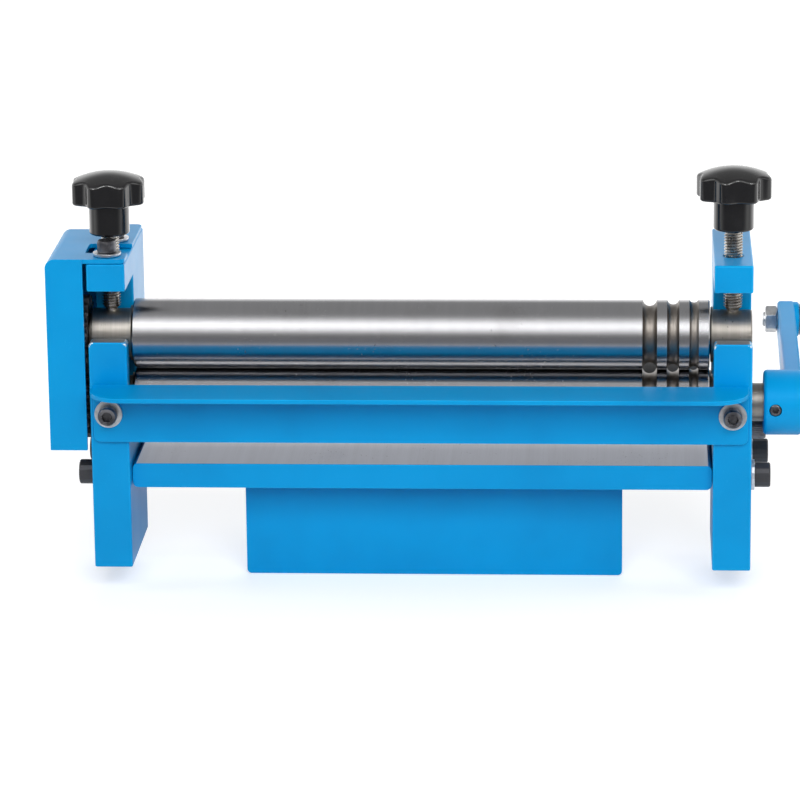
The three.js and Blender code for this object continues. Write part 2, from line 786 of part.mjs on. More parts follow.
// Crank: a cast hub and a tapered arm, keyed to the drive roll
const crankCosine = Math.cos(crankAngle);
const crankSine = Math.sin(crankAngle);
const armEndX = hubEndX;
const armStartX = armEndX - armThickness;

function crankArm() {
  const hub = turnedAlongX([
    [0, 0], [hubRadius - 2, 0], [hubRadius, 2], [hubRadius, hubLength - 2],
    [hubRadius - 2, hubLength], [0, hubLength],
  ]).translate([hubStartX, 0, 0]);
  const outline = new THREE.Shape();
  const slope = Math.asin((armRoot - armTip) / crankLength);
  outline.absarc(0, 0, armRoot, Math.PI / 2 - slope, 1.5 * Math.PI + slope);
  outline.absarc(crankLength, 0, armTip, slope - Math.PI / 2, Math.PI / 2 - slope);
  outline.closePath();
  const arm = slabX(outline, armStartX, armEndX);
  const boss = rodX(armTip, armStartX, armEndX + gripStandoff - seatGap, roundFacets)
    .translate([0, crankLength, 0]);
  const boltHole = rodX(handleBoltRadius + slideGap, armStartX - cutPast, hubEndX + cutPast * 3)
    .translate([0, crankLength, 0]);
  const shaftHole = rodX(journalRadius + slideGap, hubStartX - cutPast, hubEndX + cutPast, roundFacets);
  const half = crankKeyWidth / 2 + slideGap;
  const keyway = block([hubStartX - cutPast, -half, 0],
    [hubEndX + cutPast, half, journalRadius - crankKeySink + crankKeyHeight + seatGap]);
  const setHole = rodZ(m6.radius + seatGap, 0, hubRadius + cutPast);
  const swung = turnX(cut(join(hub, arm, boss), boltHole), THREE.MathUtils.radToDeg(crankAngle));
  return cut(swung, shaftHole, keyway,
    turnX(setHole, 90).translate([hubStartX + 6, 0, 0]));
}

addPiece('crank_arm', crankArm(), bluePaint, [0, rollY, lowerRollZ]);
addPiece('crank_key', spreadKey(crankKeyWidth, crankKeyHeight, crankKeyLength, crankKeySink, journalRadius),
  turnedSteel, [crankKeyX, rollY, lowerRollZ]);

function setScrew() {
  const low = journalRadius + seatGap;
  const high = hubRadius - seatGap;
  const body = rodZ(m6.radius, low, high);
  return cut(body, slabZ(hexagon(3), high - 3, high + cutPast));
}

addPiece('crank_set_screw', turnX(setScrew(), 90), blackOxide, [hubStartX + 6, rollY, lowerRollZ]);

const gripY = rollY + crankLength * crankCosine;
const gripZ = lowerRollZ + crankLength * crankSine;
const gripStartX = armEndX + gripStandoff;
const gripEndX = gripStartX + gripLength;

function grip() {
  const bore = handleBoltRadius + runGap;
  const sink = handleHeadRadius + runGap;
  const sinkDepth = handleHeadHeight + 1;
  const swell = (share) => gripRadius - 3.2 + 2 * Math.sin(Math.PI * share * 0.9) + 1.2 * share;
  const profile = [[bore, 0], [gripRadius - 4, 0]];
  for (let i = 0; i <= 8; i += 1) {
    const share = i / 8;
    profile.push([swell(share), 2 + share * (gripLength - 6)]);
  }
  profile.push([gripRadius - 4, gripLength], [sink, gripLength],
    [sink, gripLength - sinkDepth], [bore, gripLength - sinkDepth], [bore, 0]);
  return turnedAlongX(profile, smallFacets);
}

addPiece('crank_grip', grip(), blackPlastic, [gripStartX, gripY, gripZ]);

// Handle bolt through the grip, with its nut behind the arm
const boltNutX = armStartX - seatGap - m8Nut.height;
const boltHeadX = gripEndX - handleHeadHeight - 1 + seatGap;

function handleBolt() {
  const shankEnd = boltNutX - 1.5;
  const body = turnedAlongX([
    [0, shankEnd], [handleBoltRadius, shankEnd], [handleBoltRadius, boltHeadX],
    [handleHeadRadius, boltHeadX], [handleHeadRadius, boltHeadX + handleHeadHeight],
    [0, boltHeadX + handleHeadHeight],
  ], smallFacets);
  const slot = block([boltHeadX + 2, -0.9, -handleHeadRadius * 2],
    [boltHeadX + handleHeadHeight * 2, 0.9, handleHeadRadius * 2]);
  return cut(body, slot);
}

function nut(thread) {
  const shape = hexagon(m8Nut.across);
  return cut(slabZ(shape, 0, m8Nut.height), rodZ(thread + slideGap, -cutPast, m8Nut.height + cutPast));
}

addPiece('handle_bolt', handleBolt(), zincPlate, [0, gripY, gripZ]);
addPiece('handle_nut', turnY(nut(handleBoltRadius), 90), zincPlate, [boltNutX, gripY, gripZ]);

// Lift screws, seated in the top bushes and threaded through the plates
const bushTopZ = topRollZ + bushRadius;
const knobBottomZ = plateTopZ + knobRise;
const liftScrewTopZ = knobBottomZ + knobGrip;

function liftScrew() {
  const low = bushTopZ + seatGap;
  return turned([
    [0, bushTopZ - spigotDepth], [spigotRadius, bushTopZ - spigotDepth], [spigotRadius, low],
    [liftScrewRadius, low], [liftScrewRadius, liftScrewTopZ], [0, liftScrewTopZ],
  ], smallFacets);
}

// A star knob is a turned body with a domed top; its rim is waved into lobes, and the wave's
// upright wall ends on the dome, so the rim climbs between the lobes
function starKnob() {
  const bore = liftScrewRadius + slideGap;
  const wallTop = knobHubHeight + knobWall;
  const dome = (radius) => wallTop + knobDome * (1 - (radius / knobRadius) ** 2);
  const profile = [
    [0, knobGrip + 1, 0], [bore, knobGrip + 1, 0], [bore, 0, 0],
    [knobHubRadius - 1, 0, 0], [knobHubRadius, 1, 0],
    [knobHubRadius, knobHubHeight - 1, 0], [knobHubRadius + 1, knobHubHeight, 0],
    [knobRadius - 1, knobHubHeight, 1], [knobRadius, knobHubHeight + 1, 1],
    [knobRadius, wallTop - 0.8, 1], [knobRadius - 0.8, wallTop + 0.3, 1],
    [knobRadius * 0.8, dome(knobRadius * 0.8), 0], [knobRadius * 0.5, dome(knobRadius * 0.5), 0],
    [knobRadius * 0.25, dome(knobRadius * 0.25), 0], [0, wallTop + knobDome, 0],
  ];
  const points = profile.map(([radius, height]) => new THREE.Vector2(radius, height));
  const facets = knobLobes * lobeFacets;
  const geometry = new THREE.LatheGeometry(points, facets);
  const position = geometry.attributes.position;
  for (let i = 0; i < position.count; i += 1) {
    const wave = profile[i % profile.length][2];
    const x = position.getX(i);
    const z = position.getZ(i);
    const lobe = Math.cos(knobLobes * Math.atan2(x, z));
    const shrink = 1 - wave * knobWave * (0.5 - 0.5 * lobe);
    position.setX(i, x * shrink);
    position.setZ(i, z * shrink);
    if (profile[i % profile.length][1] > wallTop - 1) {
      position.setY(i, position.getY(i) + knobDome * (1 - shrink ** 2));
    }
  }
  return solid(geometry.rotateX(Math.PI / 2));
}

const knob = starKnob();
for (const [side, x, extra, turn] of [
  ['left', -plateX, 0, leftKnobTurn],
  ['right', plateX, rightKnobExtra, rightKnobTurn],
]) {
  addPiece(`lift_screw_${side}`, liftScrew(), zincPlate, [x, rollY, 0]);
  addPiece(`star_knob_${side}`, knob, blackPlastic, [x, rollY, knobBottomZ + extra], [0, 0, turn]);
}

// Rear adjusting screws, up the slots from the slanted shoulders, with their lock nuts
function rearScrew() {
  const start = rearBushRadius + seatGap;
  const seat = shoulderDistance + seatGap + m8Nut.height + feedTravel + 2 * slideGap;
  const head = m8.head;
  const end = seat + m8.height;
  const body = turned([
    [0, -end], [head - 0.6, -end], [head, -end + 0.6], [head, -seat], [m8.radius, -seat],
    [m8.radius, -start], [spigotRadius, -start], [spigotRadius, -rearBushRadius + spigotDepth],
    [0, -rearBushRadius + spigotDepth],
  ], smallFacets);
  return cut(body, slabZ(hexagon(m8.socket), -end - cutPast, -end + m8.height / 2));
}

const lockNut = nut(m8.radius).translate([0, 0, -shoulderDistance - seatGap - m8Nut.height]);
for (const [side, x] of [['left', -plateX], ['right', plateX]]) {
  addPiece(`rear_screw_${side}`, rearScrew(), blackOxide, [x, rearRollY, rearRollZ], [feedAngle, 0, 0]);
  addPiece(`rear_lock_nut_${side}`, lockNut, zincPlate, [x, rearRollY, rearRollZ], [feedAngle, 0, 0]);
}

// The finished machine, moved so that the vise plate's front face holds the origin
machine.position.set(0, -viseSetback, 0);
const slipRoll = new THREE.Group();
slipRoll.add(machine);

export default slipRoll;
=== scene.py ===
import json
import logging
import math
from collections.abc import Callable, Iterator
from contextlib import contextmanager
from dataclasses import dataclass
from enum import Enum
from functools import cache
from itertools import pairwise
from typing import Any

import bmesh
import bpy
from mathutils import Matrix, Vector


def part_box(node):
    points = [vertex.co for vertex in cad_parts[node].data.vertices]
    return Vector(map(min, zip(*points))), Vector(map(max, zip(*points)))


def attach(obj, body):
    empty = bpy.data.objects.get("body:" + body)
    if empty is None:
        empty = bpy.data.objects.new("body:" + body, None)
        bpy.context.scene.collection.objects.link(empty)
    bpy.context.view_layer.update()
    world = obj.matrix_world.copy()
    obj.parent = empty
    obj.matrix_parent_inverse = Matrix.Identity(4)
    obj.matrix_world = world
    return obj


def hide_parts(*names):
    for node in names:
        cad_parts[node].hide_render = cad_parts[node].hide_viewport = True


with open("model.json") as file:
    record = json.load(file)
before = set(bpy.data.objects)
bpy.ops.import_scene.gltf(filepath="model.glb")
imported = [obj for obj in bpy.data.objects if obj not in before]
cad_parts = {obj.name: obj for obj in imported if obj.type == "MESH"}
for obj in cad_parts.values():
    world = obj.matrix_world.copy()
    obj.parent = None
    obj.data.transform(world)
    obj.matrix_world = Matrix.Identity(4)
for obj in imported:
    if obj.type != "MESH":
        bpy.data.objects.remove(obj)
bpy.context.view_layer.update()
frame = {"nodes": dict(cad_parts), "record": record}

log = logging.getLogger("slip_roll")

MM = 0.001
WELD = 1e-6
PAST = 2 * MM
SLANT = math.radians(25)
PARALLEL = 0.99
LEVEL = 0.95
KEY_ROUND = 0.45
KEY_ROOM = 0.3 * MM
EDGE_ANGLE = 32
SHADE_ANGLE = 38
NORTH = Vector((0, 0, 1))
ALONG_X = Vector((1, 0, 0))
ALONG_Y = Vector((0, 1, 0))
UP_SLOT = Vector((0, -math.sin(SLANT), math.cos(SLANT)))

Pair = tuple[float, float]
Profile = list[Pair]
Triple = tuple[float, float, float]
Test = Callable[[Vector, Vector], bool]
Piece = bpy.types.Object
BODY_OF = {
    node: body
    for body, nodes in frame["record"]["behaviour"]["bodies"].items()
    for node in nodes
}


class Side(Enum):
    """The gear end and the crank end of the machine."""

    LEFT = -1
    RIGHT = 1

    @property
    def word(self) -> str:
        """The side's name as the nodes write it."""
        return self.name.lower()


class Plane(Enum):
    """The plane that an outline is drawn in, named by its two axes."""

    YZ = ((0, 0, 1), (1, 0, 0), (0, 1, 0))
    XZ = ((1, 0, 0), (0, 0, -1), (0, 1, 0))
    XY = ((1, 0, 0), (0, 1, 0), (0, 0, 1))

    def matrix(self) -> Matrix:
        """The turn from the drawing to the machine."""
        return Matrix(self.value).to_4x4()


class Join(Enum):
    """How one solid changes another."""

    CUT = "DIFFERENCE"
    ADD = "UNION"
    KEEP = "INTERSECT"


class Element(Enum):
    """What is picked in edit mode."""

    VERT = "VERT"
    EDGE = "EDGE"


# Modelling


@dataclass(frozen=True)
class Axis:
    """A line that a turned part is built on; its local +Z runs along the direction."""

    origin: Vector
    direction: Vector

    def matrix(self) -> Matrix:
        """The place and turn of a part that was modelled along +Z."""
        turn = NORTH.rotation_difference(self.direction.normalized())
        return Matrix.Translation(self.origin) @ turn.to_matrix().to_4x4()


def clear_selection() -> None:
    """Leaves edit mode and deselects every object."""
    if bpy.context.object and bpy.context.object.mode != "OBJECT":
        bpy.ops.object.mode_set(mode="OBJECT")
    bpy.ops.object.select_all(action="DESELECT")


def take(piece: Piece) -> Piece:
    """Makes a piece the only selected one, and the active one.

    Args:
        piece: The object to work on.

    Returns:
        The same object.
    """
    clear_selection()
    piece.select_set(True)
    bpy.context.view_layer.objects.active = piece
    return piece


def discard(piece: Piece) -> None:
    """Deletes a piece that has served as a tool or a pattern."""
    bpy.data.objects.remove(piece, do_unlink=True)


def modify(piece: Piece, kind: str, **settings: Any) -> Piece:
    """Applies one modifier to a piece.

    Args:
        piece: The piece.
        kind: The modifier's type.
        settings: The modifier's settings.

    Returns:
        The piece.
    """
    change = piece.modifiers.new(kind.lower(), kind)
    for name, value in settings.items():
        setattr(change, name, value)
    take(piece)
    bpy.ops.object.modifier_apply(modifier=change.name)
    return piece


@contextmanager
def editing(piece: Piece) -> Iterator[None]:
    """Edit mode on one piece, with nothing selected.

    Args:
        piece: The object to edit.
    """
    take(piece)
    bpy.ops.object.mode_set(mode="EDIT")
    bpy.ops.mesh.select_all(action="DESELECT")
    yield
    bpy.ops.object.mode_set(mode="OBJECT")


def place(piece: Piece, matrix: Matrix) -> Piece:
    """Moves a piece and puts its place into its mesh.

    Args:
        piece: The object, still at the origin.
        matrix: Where it goes.

    Returns:
        The same object.
    """
    take(piece)
    piece.matrix_world = matrix @ piece.matrix_world
    bpy.ops.object.transform_apply(location=True, rotation=True, scale=True)
    return piece


def pick(kind: Element, test: Test) -> None:
    """Selects what passes a test on the mesh being edited.

    Args:
        kind: Vertices or edges.
        test: Takes a vertex's place and normal, or an edge's middle and direction.
    """
    bpy.ops.mesh.select_mode(type=kind.value)
    bpy.ops.mesh.select_all(action="DESELECT")
    data = bpy.context.object.data
    mesh = bmesh.from_edit_mesh(data)
    if kind is Element.EDGE:
        for edge in mesh.edges:
            first, second = (v.co for v in edge.verts)
            edge.select_set(test((first + second) / 2, (second - first).normalized()))
    else:
        for vert in mesh.verts:
            vert.select_set(test(vert.co, vert.normal))
    mesh.select_flush_mode()
    bmesh.update_edit_mesh(data)


def weld() -> None:
    """Merges the doubles of the mesh being edited and turns its faces outwards."""
    bpy.ops.mesh.select_all(action="SELECT")
    bpy.ops.mesh.remove_doubles(threshold=WELD)
    bpy.ops.mesh.normals_make_consistent(inside=False)


def close_ends(piece: Piece) -> None:
    """Fills the open ends of a piece and turns its faces outwards.

    Args:
        piece: The piece.
    """
    with editing(piece):
        bpy.ops.mesh.select_mode(type="EDGE")
        bpy.ops.mesh.select_non_manifold(extend=False, use_wire=False, use_multi_face=False,
                                         use_non_contiguous=False, use_verts=False)
        bpy.ops.mesh.fill_holes(sides=0)
        weld()


def trace(name: str, points: list[Vector]) -> Piece:
    """Draws a line of edges by extruding one vertex, and stays in edit mode with all selected.

    Args:
        name: The new piece's name.
        points: The corners in order.

    Returns:
        The piece, in edit mode.
    """
    clear_selection()
    bpy.ops.mesh.primitive_plane_add(size=MM, location=(0, 0, 0))
    piece = bpy.context.object
    piece.name = name
    bpy.ops.object.mode_set(mode="EDIT")
    bpy.ops.mesh.select_mode(type="VERT")
    bpy.ops.mesh.merge(type="CENTER")
    bpy.ops.transform.translate(value=points[0])
    for start, end in pairwise(points):
        bpy.ops.mesh.extrude_vertices_move(TRANSFORM_OT_translate={"value": end - start})
    bpy.ops.mesh.select_all(action="SELECT")
    return piece


def turned(name: str, profile: Profile, axis: Axis | None = None, steps: int = 96) -> Piece:
    """Spins a profile into a solid.

    Args:
        name: The new piece's name.
        profile: Radius and height pairs that start and end on the axis, or close on themselves.
        axis: Where the part's axis lies; along +Z through the origin if left out.
        steps: Facets round the axis.

    Returns:
        The piece.
    """
    piece = trace(name, [Vector((radius, 0, height)) for radius, height in profile])
    bpy.ops.mesh.spin(steps=steps, angle=math.tau, center=(0, 0, 0), axis=(0, 0, 1))
    weld()
    bpy.ops.object.mode_set(mode="OBJECT")
    return place(piece, axis.matrix()) if axis else piece


def prism(name: str, outline: Profile, plane: Plane, low: float, high: float) -> Piece:
    """Gives an outline a thickness.

    Args:
        name: The new piece's name.
        outline: Its corners in order, not closed.
        plane: The plane that it is drawn in.
        low: Where it starts on the third axis.
        high: Where it ends.

    Returns:
        The piece.
    """
    flip = -1 if plane is Plane.XZ else 1
    corners = [Vector((x, y, flip * low)) for x, y in outline]
    piece = trace(name, [*corners, corners[0]])
    bpy.ops.mesh.remove_doubles(threshold=WELD)
    bpy.ops.mesh.edge_face_add()
    bpy.ops.mesh.extrude_region_move(TRANSFORM_OT_translate={"value": (0, 0, flip * (high - low))})
    weld()
    bpy.ops.object.mode_set(mode="OBJECT")
    return place(piece, plane.matrix())


def block(name: str, low: Vector, high: Vector) -> Piece:
    """A box between two corners.

    Args:
        name: The new piece's name.
        low: Its lowest corner.
        high: Its highest corner.

    Returns:
        The piece.
    """
    clear_selection()
    bpy.ops.mesh.primitive_cube_add(size=1, location=(low + high) / 2, scale=high - low)
    piece = bpy.context.object
    piece.name = name
    return place(piece, Matrix())


def arc(middle: Pair, radius: float, start: float, end: float, steps: int) -> Profile:
    """Points on an arc, in degrees from the first axis towards the second.

    Args:
        middle: The arc's centre.
        radius: Its radius.
        start: The first angle.
        end: The last angle.
        steps: How many chords it has.

    Returns:
        The points, both ends included.
    """
    turns = [math.radians(start + (end - start) * i / steps) for i in range(steps + 1)]
    return [(middle[0] + radius * math.cos(t), middle[1] + radius * math.sin(t)) for t in turns]


def hexagon(across: float) -> Profile:
    """The corners of a hexagon.

    Args:
        across: Its width across the flats.

    Returns:
        The corners in order.
    """
    corner = across / math.sqrt(3)
    turns = [i * math.tau / 6 for i in range(6)]
    return [(corner * math.cos(t), corner * math.sin(t)) for t in turns]


def closed(profile: Profile) -> Profile:
    """A profile that ends where it starts."""
    return [*profile, profile[0]]


def shaft(radius: float, low: float, high: float, edge: float) -> Profile:
    """The profile of a round bar with chamfered ends.

    Args:
        radius: Its radius.
        low: Where it starts.
        high: Where it ends.
        edge: The chamfers' width.

    Returns:
        Radius and height pairs.
    """
    return [(0, low), (radius - edge, low), (radius, low + edge), (radius, high - edge),
            (radius - edge, high), (0, high)]


def combine(piece: Piece, tool: Piece, how: Join = Join.CUT) -> Piece:
    """Changes a solid by another, which is used up.

    Args:
        piece: The solid that stays.
        tool: The solid that cuts it, joins it or limits it.
        how: Which of these.

    Returns:
        The changed piece.
    """
    modify(piece, "BOOLEAN", operation=how.value, solver="EXACT", object=tool)
    discard(tool)
    return piece


def cut_hole(piece: Piece, axis: Axis, radius: float, low: float, high: float,
             steps: int = 32) -> None:
    """Cuts a round hole into a solid.

    Args:
        piece: The solid.
        axis: The hole's line.
        radius: Its radius.
        low: Where it starts on the line.
        high: Where it ends.
        steps: Facets round it.
    """
    profile = [(0, low), (radius, low), (radius, high), (0, high)]
    combine(piece, turned("hole", profile, axis, steps))


def soften(piece: Piece, width: float, segments: int = 2, edge_slot: int = -1) -> Piece:
    """Rounds the sharp edges of a solid and shades it smooth between them.

    Args:
        piece: The solid.
        width: How far the rounding reaches from each edge.
        segments: Facets across it.
        edge_slot: The material slot that the rounded edges take, or -1 for their neighbours'.

    Returns:
        The piece.
    """
    modify(piece, "BEVEL", width=width, segments=segments, limit_method="ANGLE",
           angle_limit=math.radians(EDGE_ANGLE), use_clamp_overlap=False, material=edge_slot)
    return smooth(piece, SHADE_ANGLE)


def shade(piece: Piece, angle: float) -> Piece:
    """Shades a piece smooth across edges of up to an angle.

    Args:
        piece: The piece.
        angle: The angle between two faces, in degrees.

    Returns:
        The piece.
    """
    take(piece)
    bpy.ops.object.shade_smooth_by_angle(angle=math.radians(angle))
    return piece


def smooth(piece: Piece, angle: float) -> Piece:
    """Shades a piece smooth across edges of up to an angle, while its large faces stay flat.

    Args:
        piece: The piece.
        angle: The angle between two faces, in degrees.

    Returns:
        The piece.
    """
    return modify(shade(piece, angle), "WEIGHTED_NORMAL", mode="FACE_AREA", weight=75, keep_sharp=True)


def round_edges(piece: Piece, test: Test, radius: float, segments: int) -> Piece:
    """Rounds the chosen edges of a solid.

    Args:
        piece: The solid.
        test: Takes an edge's middle and direction.
        radius: The rounding's radius.
        segments: Facets across it.

    Returns:
        The piece.
    """
    with editing(piece):
        pick(Element.EDGE, test)
        bpy.ops.mesh.bevel(offset=radius, segments=segments, affect="EDGES")
    return piece


def copy_of(piece: Piece, name: str, matrix: Matrix) -> Piece:
    """Copies a piece with its own mesh.

    Args:
        piece: The piece to copy.
        name: The copy's name.
        matrix: Where the copy goes from there.

    Returns:
        The copy.
    """
    take(piece)
    bpy.ops.object.duplicate(linked=False)
    double = bpy.context.object
    double.name = name
    place(double, matrix)
    if matrix.determinant() < 0:
        with editing(double):
            weld()
    return double


def middle_of(node: str) -> Vector:
    """The middle of a CAD node's box."""
    low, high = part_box(node)
    return (low + high) / 2


def reach(node: str, axis: Axis) -> Pair:
    """How far a CAD node reaches along an axis.

    Args:
        node: The node's name.
        axis: The line to measure on.

    Returns:
        Its lowest and highest distance from the axis's origin.
    """
    steps = [(v.co - axis.origin).dot(axis.direction) for v in frame["nodes"][node].data.vertices]
    return min(steps), max(steps)


# Materials


class Wire:
    """An output socket of a node tree, with arithmetic."""

    def __init__(self, shop: "Shop", socket: bpy.types.NodeSocket) -> None:
        """Keeps the tree and the socket."""
        self.shop = shop
        self.socket = socket

    def __add__(self, other: "Wire | float") -> "Wire":
        """The sum."""
        return self.shop.math("ADD", self, other)

    __radd__ = __add__

    def __sub__(self, other: "Wire | float") -> "Wire":
        """The difference."""
        return self.shop.math("SUBTRACT", self, other)

    def __rsub__(self, other: float) -> "Wire":
        """The difference the other way round."""
        return self.shop.math("SUBTRACT", other, self)

    def __mul__(self, other: "Wire | float") -> "Wire":
        """The product."""
        return self.shop.math("MULTIPLY", self, other)

    __rmul__ = __mul__


class Shop:
    """The node tree of one material or world, and what adds nodes to it."""

    def __init__(self, owner: bpy.types.Material | bpy.types.World) -> None:
        """Empties the owner's node tree.

        Args:
            owner: The material or world.
        """
        owner.use_nodes = True
        self.tree = owner.node_tree
        self.tree.nodes.clear()

    def node(self, kind: str, settings: dict[str, Any] | None = None,
             values: dict[str | int, Any] | None = None) -> bpy.types.Node:
        """Adds a node.

        Args:
            kind: Its type without the words ShaderNode.
            settings: Its own settings.
            values: Values or wires for its sockets, by name or number.

        Returns:
            The node.
        """
        made = self.tree.nodes.new("ShaderNode" + kind)
        for name, value in (settings or {}).items():
            setattr(made, name, value)
        for name, value in (values or {}).items():
            if isinstance(value, Wire):
                self.tree.links.new(value.socket, made.inputs[name])
            else:
                made.inputs[name].default_value = value
        return made

    def wire(self, node: bpy.types.Node, output: str | int = 0) -> Wire:
        """One output of a node as a wire."""
        return Wire(self, node.outputs[output])

    def math(self, operation: str, *values: Wire | float) -> Wire:
        """One Math node on the values."""
        return self.wire(self.node("Math", {"operation": operation}, dict(enumerate(values))))

    def place(self, stretch: Triple = (1, 1, 1), offset: float = 0) -> Wire:
        """Object coordinates, stretched along the axes.

        Args:
            stretch: The factor on each axis.
            offset: How far the pattern is moved, to make it another one.

        Returns:
            The coordinates.
        """
        spot = self.wire(self.node("TexCoord"), "Object")
        values = {"Vector": spot, "Scale": stretch, "Location": (offset, offset, offset)}
        return self.wire(self.node("Mapping", None, values))

    def noise(self, scale: float, detail: float = 2, stretch: Triple = (1, 1, 1),
              offset: float = 0) -> Wire:
        """Noise from 0 to 1, by its cells a metre, octaves, stretch and shift."""
        values = {"Vector": self.place(stretch, offset), "Scale": scale, "Detail": detail}
        return self.wire(self.node("TexNoise", None, values))

    def between(self, value: Wire, low: float, high: float) -> Wire:
        """A smooth step from 0 at low to 1 at high."""
        settings = {"interpolation_type": "SMOOTHSTEP"}
        return self.wire(self.node("MapRange", settings, {0: value, 1: low, 2: high}))

    def blend(self, share: Wire | float, first: Any, second: Any) -> Wire:
        """A colour between two, by a share of the second."""
        values = {0: share, 6: first, 7: second}
        return self.wire(self.node("Mix", {"data_type": "RGBA"}, values), 2)

    def bump(self, height: Wire, depth: float) -> Wire:
        """A normal that follows a height map, where a height of 1 stands for a depth in metres."""
        return self.wire(self.node("Bump", None, {"Height": height, "Distance": depth, "Strength": 1}))

    def rays(self) -> tuple[Wire, Wire]:
        """Whether a ray comes straight or through glass, and whether it comes from a glossy face.

        Returns:
            Two wires, each 1 for such a ray and 0 for others.
        """
        rays = self.node("LightPath")
        straight, through = self.wire(rays, "Is Camera Ray"), self.wire(rays, "Is Transmission Ray")
        return self.math("MAXIMUM", straight, through), self.wire(rays, "Is Glossy Ray")

    def axes(self, vector: Wire) -> list[Wire]:
        """The three parts of a vector."""
        parts = self.node("SeparateXYZ", None, {0: vector})
        return [self.wire(parts, number) for number in range(3)]

    def surface(self, values: dict[str, Any]) -> None:
        """Ends the tree in one Principled shader with these sockets."""
        shader = self.node("BsdfPrincipled", None, values)
        self.node("OutputMaterial", None, {"Surface": self.wire(shader)})


def paint(code: str) -> tuple[float, float, float, float]:
    """A colour written as six hexadecimal digits, as linear values.

    Args:
        code: The digits of red, green and blue.

    Returns:
        Red, green, blue and 1.
    """
    shares = [int(code[i : i + 2], 16) / 255 for i in (0, 2, 4)]
    red, green, blue = (c / 12.92 if c <= 0.04045 else ((c + 0.055) / 1.055) ** 2.4 for c in shares)
    return red, green, blue, 1.0


@dataclass(frozen=True)
class Finish:
    """What every finish has: a name, the record's slot and a word for the pieces in it."""

    name: str
    slot: str
    word: str

    @cache
    def material(self) -> bpy.types.Material:
        """The finish as a material, made once.

        Returns:
            The material.
        """
        made = bpy.data.materials.new(self.name)
        self.mix(Shop(made))
        return made

    def mix(self, shop: Shop) -> None:
        """Builds the finish's nodes in the empty tree."""
        raise NotImplementedError


@dataclass(frozen=True)
class Enamel(Finish):
    """Gloss enamel with orange peel, a few dust nibs and, where it is worn, chips down to steel, which
    on the lip are near white, partly a painted highlight.
    """

    colour: str = "0098D8"
    deep: str = "008ECD"
    bare: str = "B9BEC4"
    roughness: float = 0.28
    wear: float = 0.0

    def mix(self, shop: Shop) -> None:
        """Builds the finish's nodes.

        Args:
            shop: The empty node tree.
        """
        clouds = shop.noise(14, 3)
        peel = shop.noise(520)
        grain = shop.noise(2600, 1, offset=3)
        nibs = shop.between(shop.noise(900, 0, offset=9), 0.79, 0.84)
        colour = shop.blend(shop.between(clouds, 0.35, 0.7), paint(self.colour), paint(self.deep))
        colour = shop.blend(nibs * 0.2, colour, paint("2AA6E0"))
        roughness = self.roughness + shop.noise(60, offset=5) * 0.08 + nibs * 0.1
        height = peel * 0.9 + grain * 0.1 + nibs * 0.8
        metal: Wire | float = 0.0
        if self.wear > 0:
            ragged = shop.noise(310, 4, offset=1) * 0.6 + shop.noise(1500, offset=2) * 0.4
            # Chips of worn paint; on the lip their near-white colour is also a painted highlight.
            chips = shop.between(ragged, 0.62 - self.wear * 0.35, 0.66 - self.wear * 0.35)
            colour = shop.blend(chips, colour, paint(self.bare))
            roughness = roughness + chips * 0.15
            metal = chips * 0.7
            height = height - chips * 1.5
        shop.surface({
            "Base Color": colour,
            "Roughness": roughness,
            "Metallic": metal,
            "Normal": shop.bump(height, 0.01 * MM),
            "Specular IOR Level": 0.16,
        })


@dataclass(frozen=True)
class GroundSteel(Finish):
    """Ground, turned or milled steel with its fine tool marks, stains and pits, and an optional glow,
    which is painted light.
    """

    colour: str = "B4B4B6"
    stain: str = "6B6763"
    roughness: float = 0.2
    ring_depth: float = 0.00025 * MM
    stain_share: float = 0.25
    rings: Triple = (1, 0.012, 0.012)
    marks: float = 1.0
    mark: str = "8B8B8F"
    metallic: float = 1.0
    # Emission strength of a painted glow.
    glow: float = 0.0

    def mix(self, shop: Shop) -> None:
        """Builds the finish's nodes.

        Args:
            shop: The empty node tree.
        """
        fine = shop.noise(2600, 2, self.rings)
        broad = shop.noise(240, 2, self.rings, offset=2)
        clouds = shop.noise(32, 4, offset=4)
        pits = shop.between(shop.noise(820, offset=7), 0.68, 0.74)
        spots = pits * shop.between(clouds, 0.5, 0.62)
        rings = (broad * 0.25 + fine * 0.12) * self.marks
        tone = shop.blend(rings, paint(self.colour), paint(self.mark))
        tone = shop.blend(shop.between(clouds, 0.56, 0.8) * self.stain_share, tone, paint(self.stain))
        tone = shop.blend(spots * 0.75, tone, paint("3A332E"))
        roughness = self.roughness + fine * 0.07 + broad * 0.05 + spots * 0.3
        values: dict[str, Any] = {
            "Base Color": tone,
            "Roughness": roughness,
            "Metallic": self.metallic,
            "Normal": shop.bump(fine * 0.6 + broad * 0.4 - spots, self.ring_depth),
        }
        # A painted glow: the steel's tone shines as emission, standing for the backdrop's light
        # reflected on it.
        if self.glow > 0:
            values |= {"Emission Color": tone, "Emission Strength": self.glow}
        shop.surface(values)


@dataclass(frozen=True)
class Metal(Finish):
    """Small metal parts: plated, blackened or hobbed, with grain, blotches and handling marks."""

    colour: str
    dark: str
    roughness: float
    metallic: float = 1.0
    grain: float = 1800
    depth: float = 0.004 * MM
    rust: float = 0.0

    def mix(self, shop: Shop) -> None:
        """Builds the finish's nodes.

        Args:
            shop: The empty node tree.
        """
        blotches = shop.noise(190, 4)
        grain = shop.noise(self.grain, offset=3)
        tone = shop.blend(shop.between(blotches, 0.36, 0.68), paint(self.colour), paint(self.dark))
        tone = shop.blend(grain * 0.2, tone, paint(self.dark))
        metallic: Wire | float = self.metallic
        if self.rust > 0:
            specks = shop.noise(420, 4, offset=6)
            rusty = shop.between(specks, 0.66 - self.rust * 0.2, 0.74) * self.rust
            tone = shop.blend(rusty, tone, paint("6B4A34"))
            metallic = self.metallic - rusty * 0.5
        roughness = self.roughness + blotches * 0.12 + grain * 0.06
        shop.surface({
            "Base Color": tone,
            "Roughness": roughness,
            "Metallic": metallic,
            "Normal": shop.bump(grain * 0.7 + blotches * 0.3, self.depth),
        })


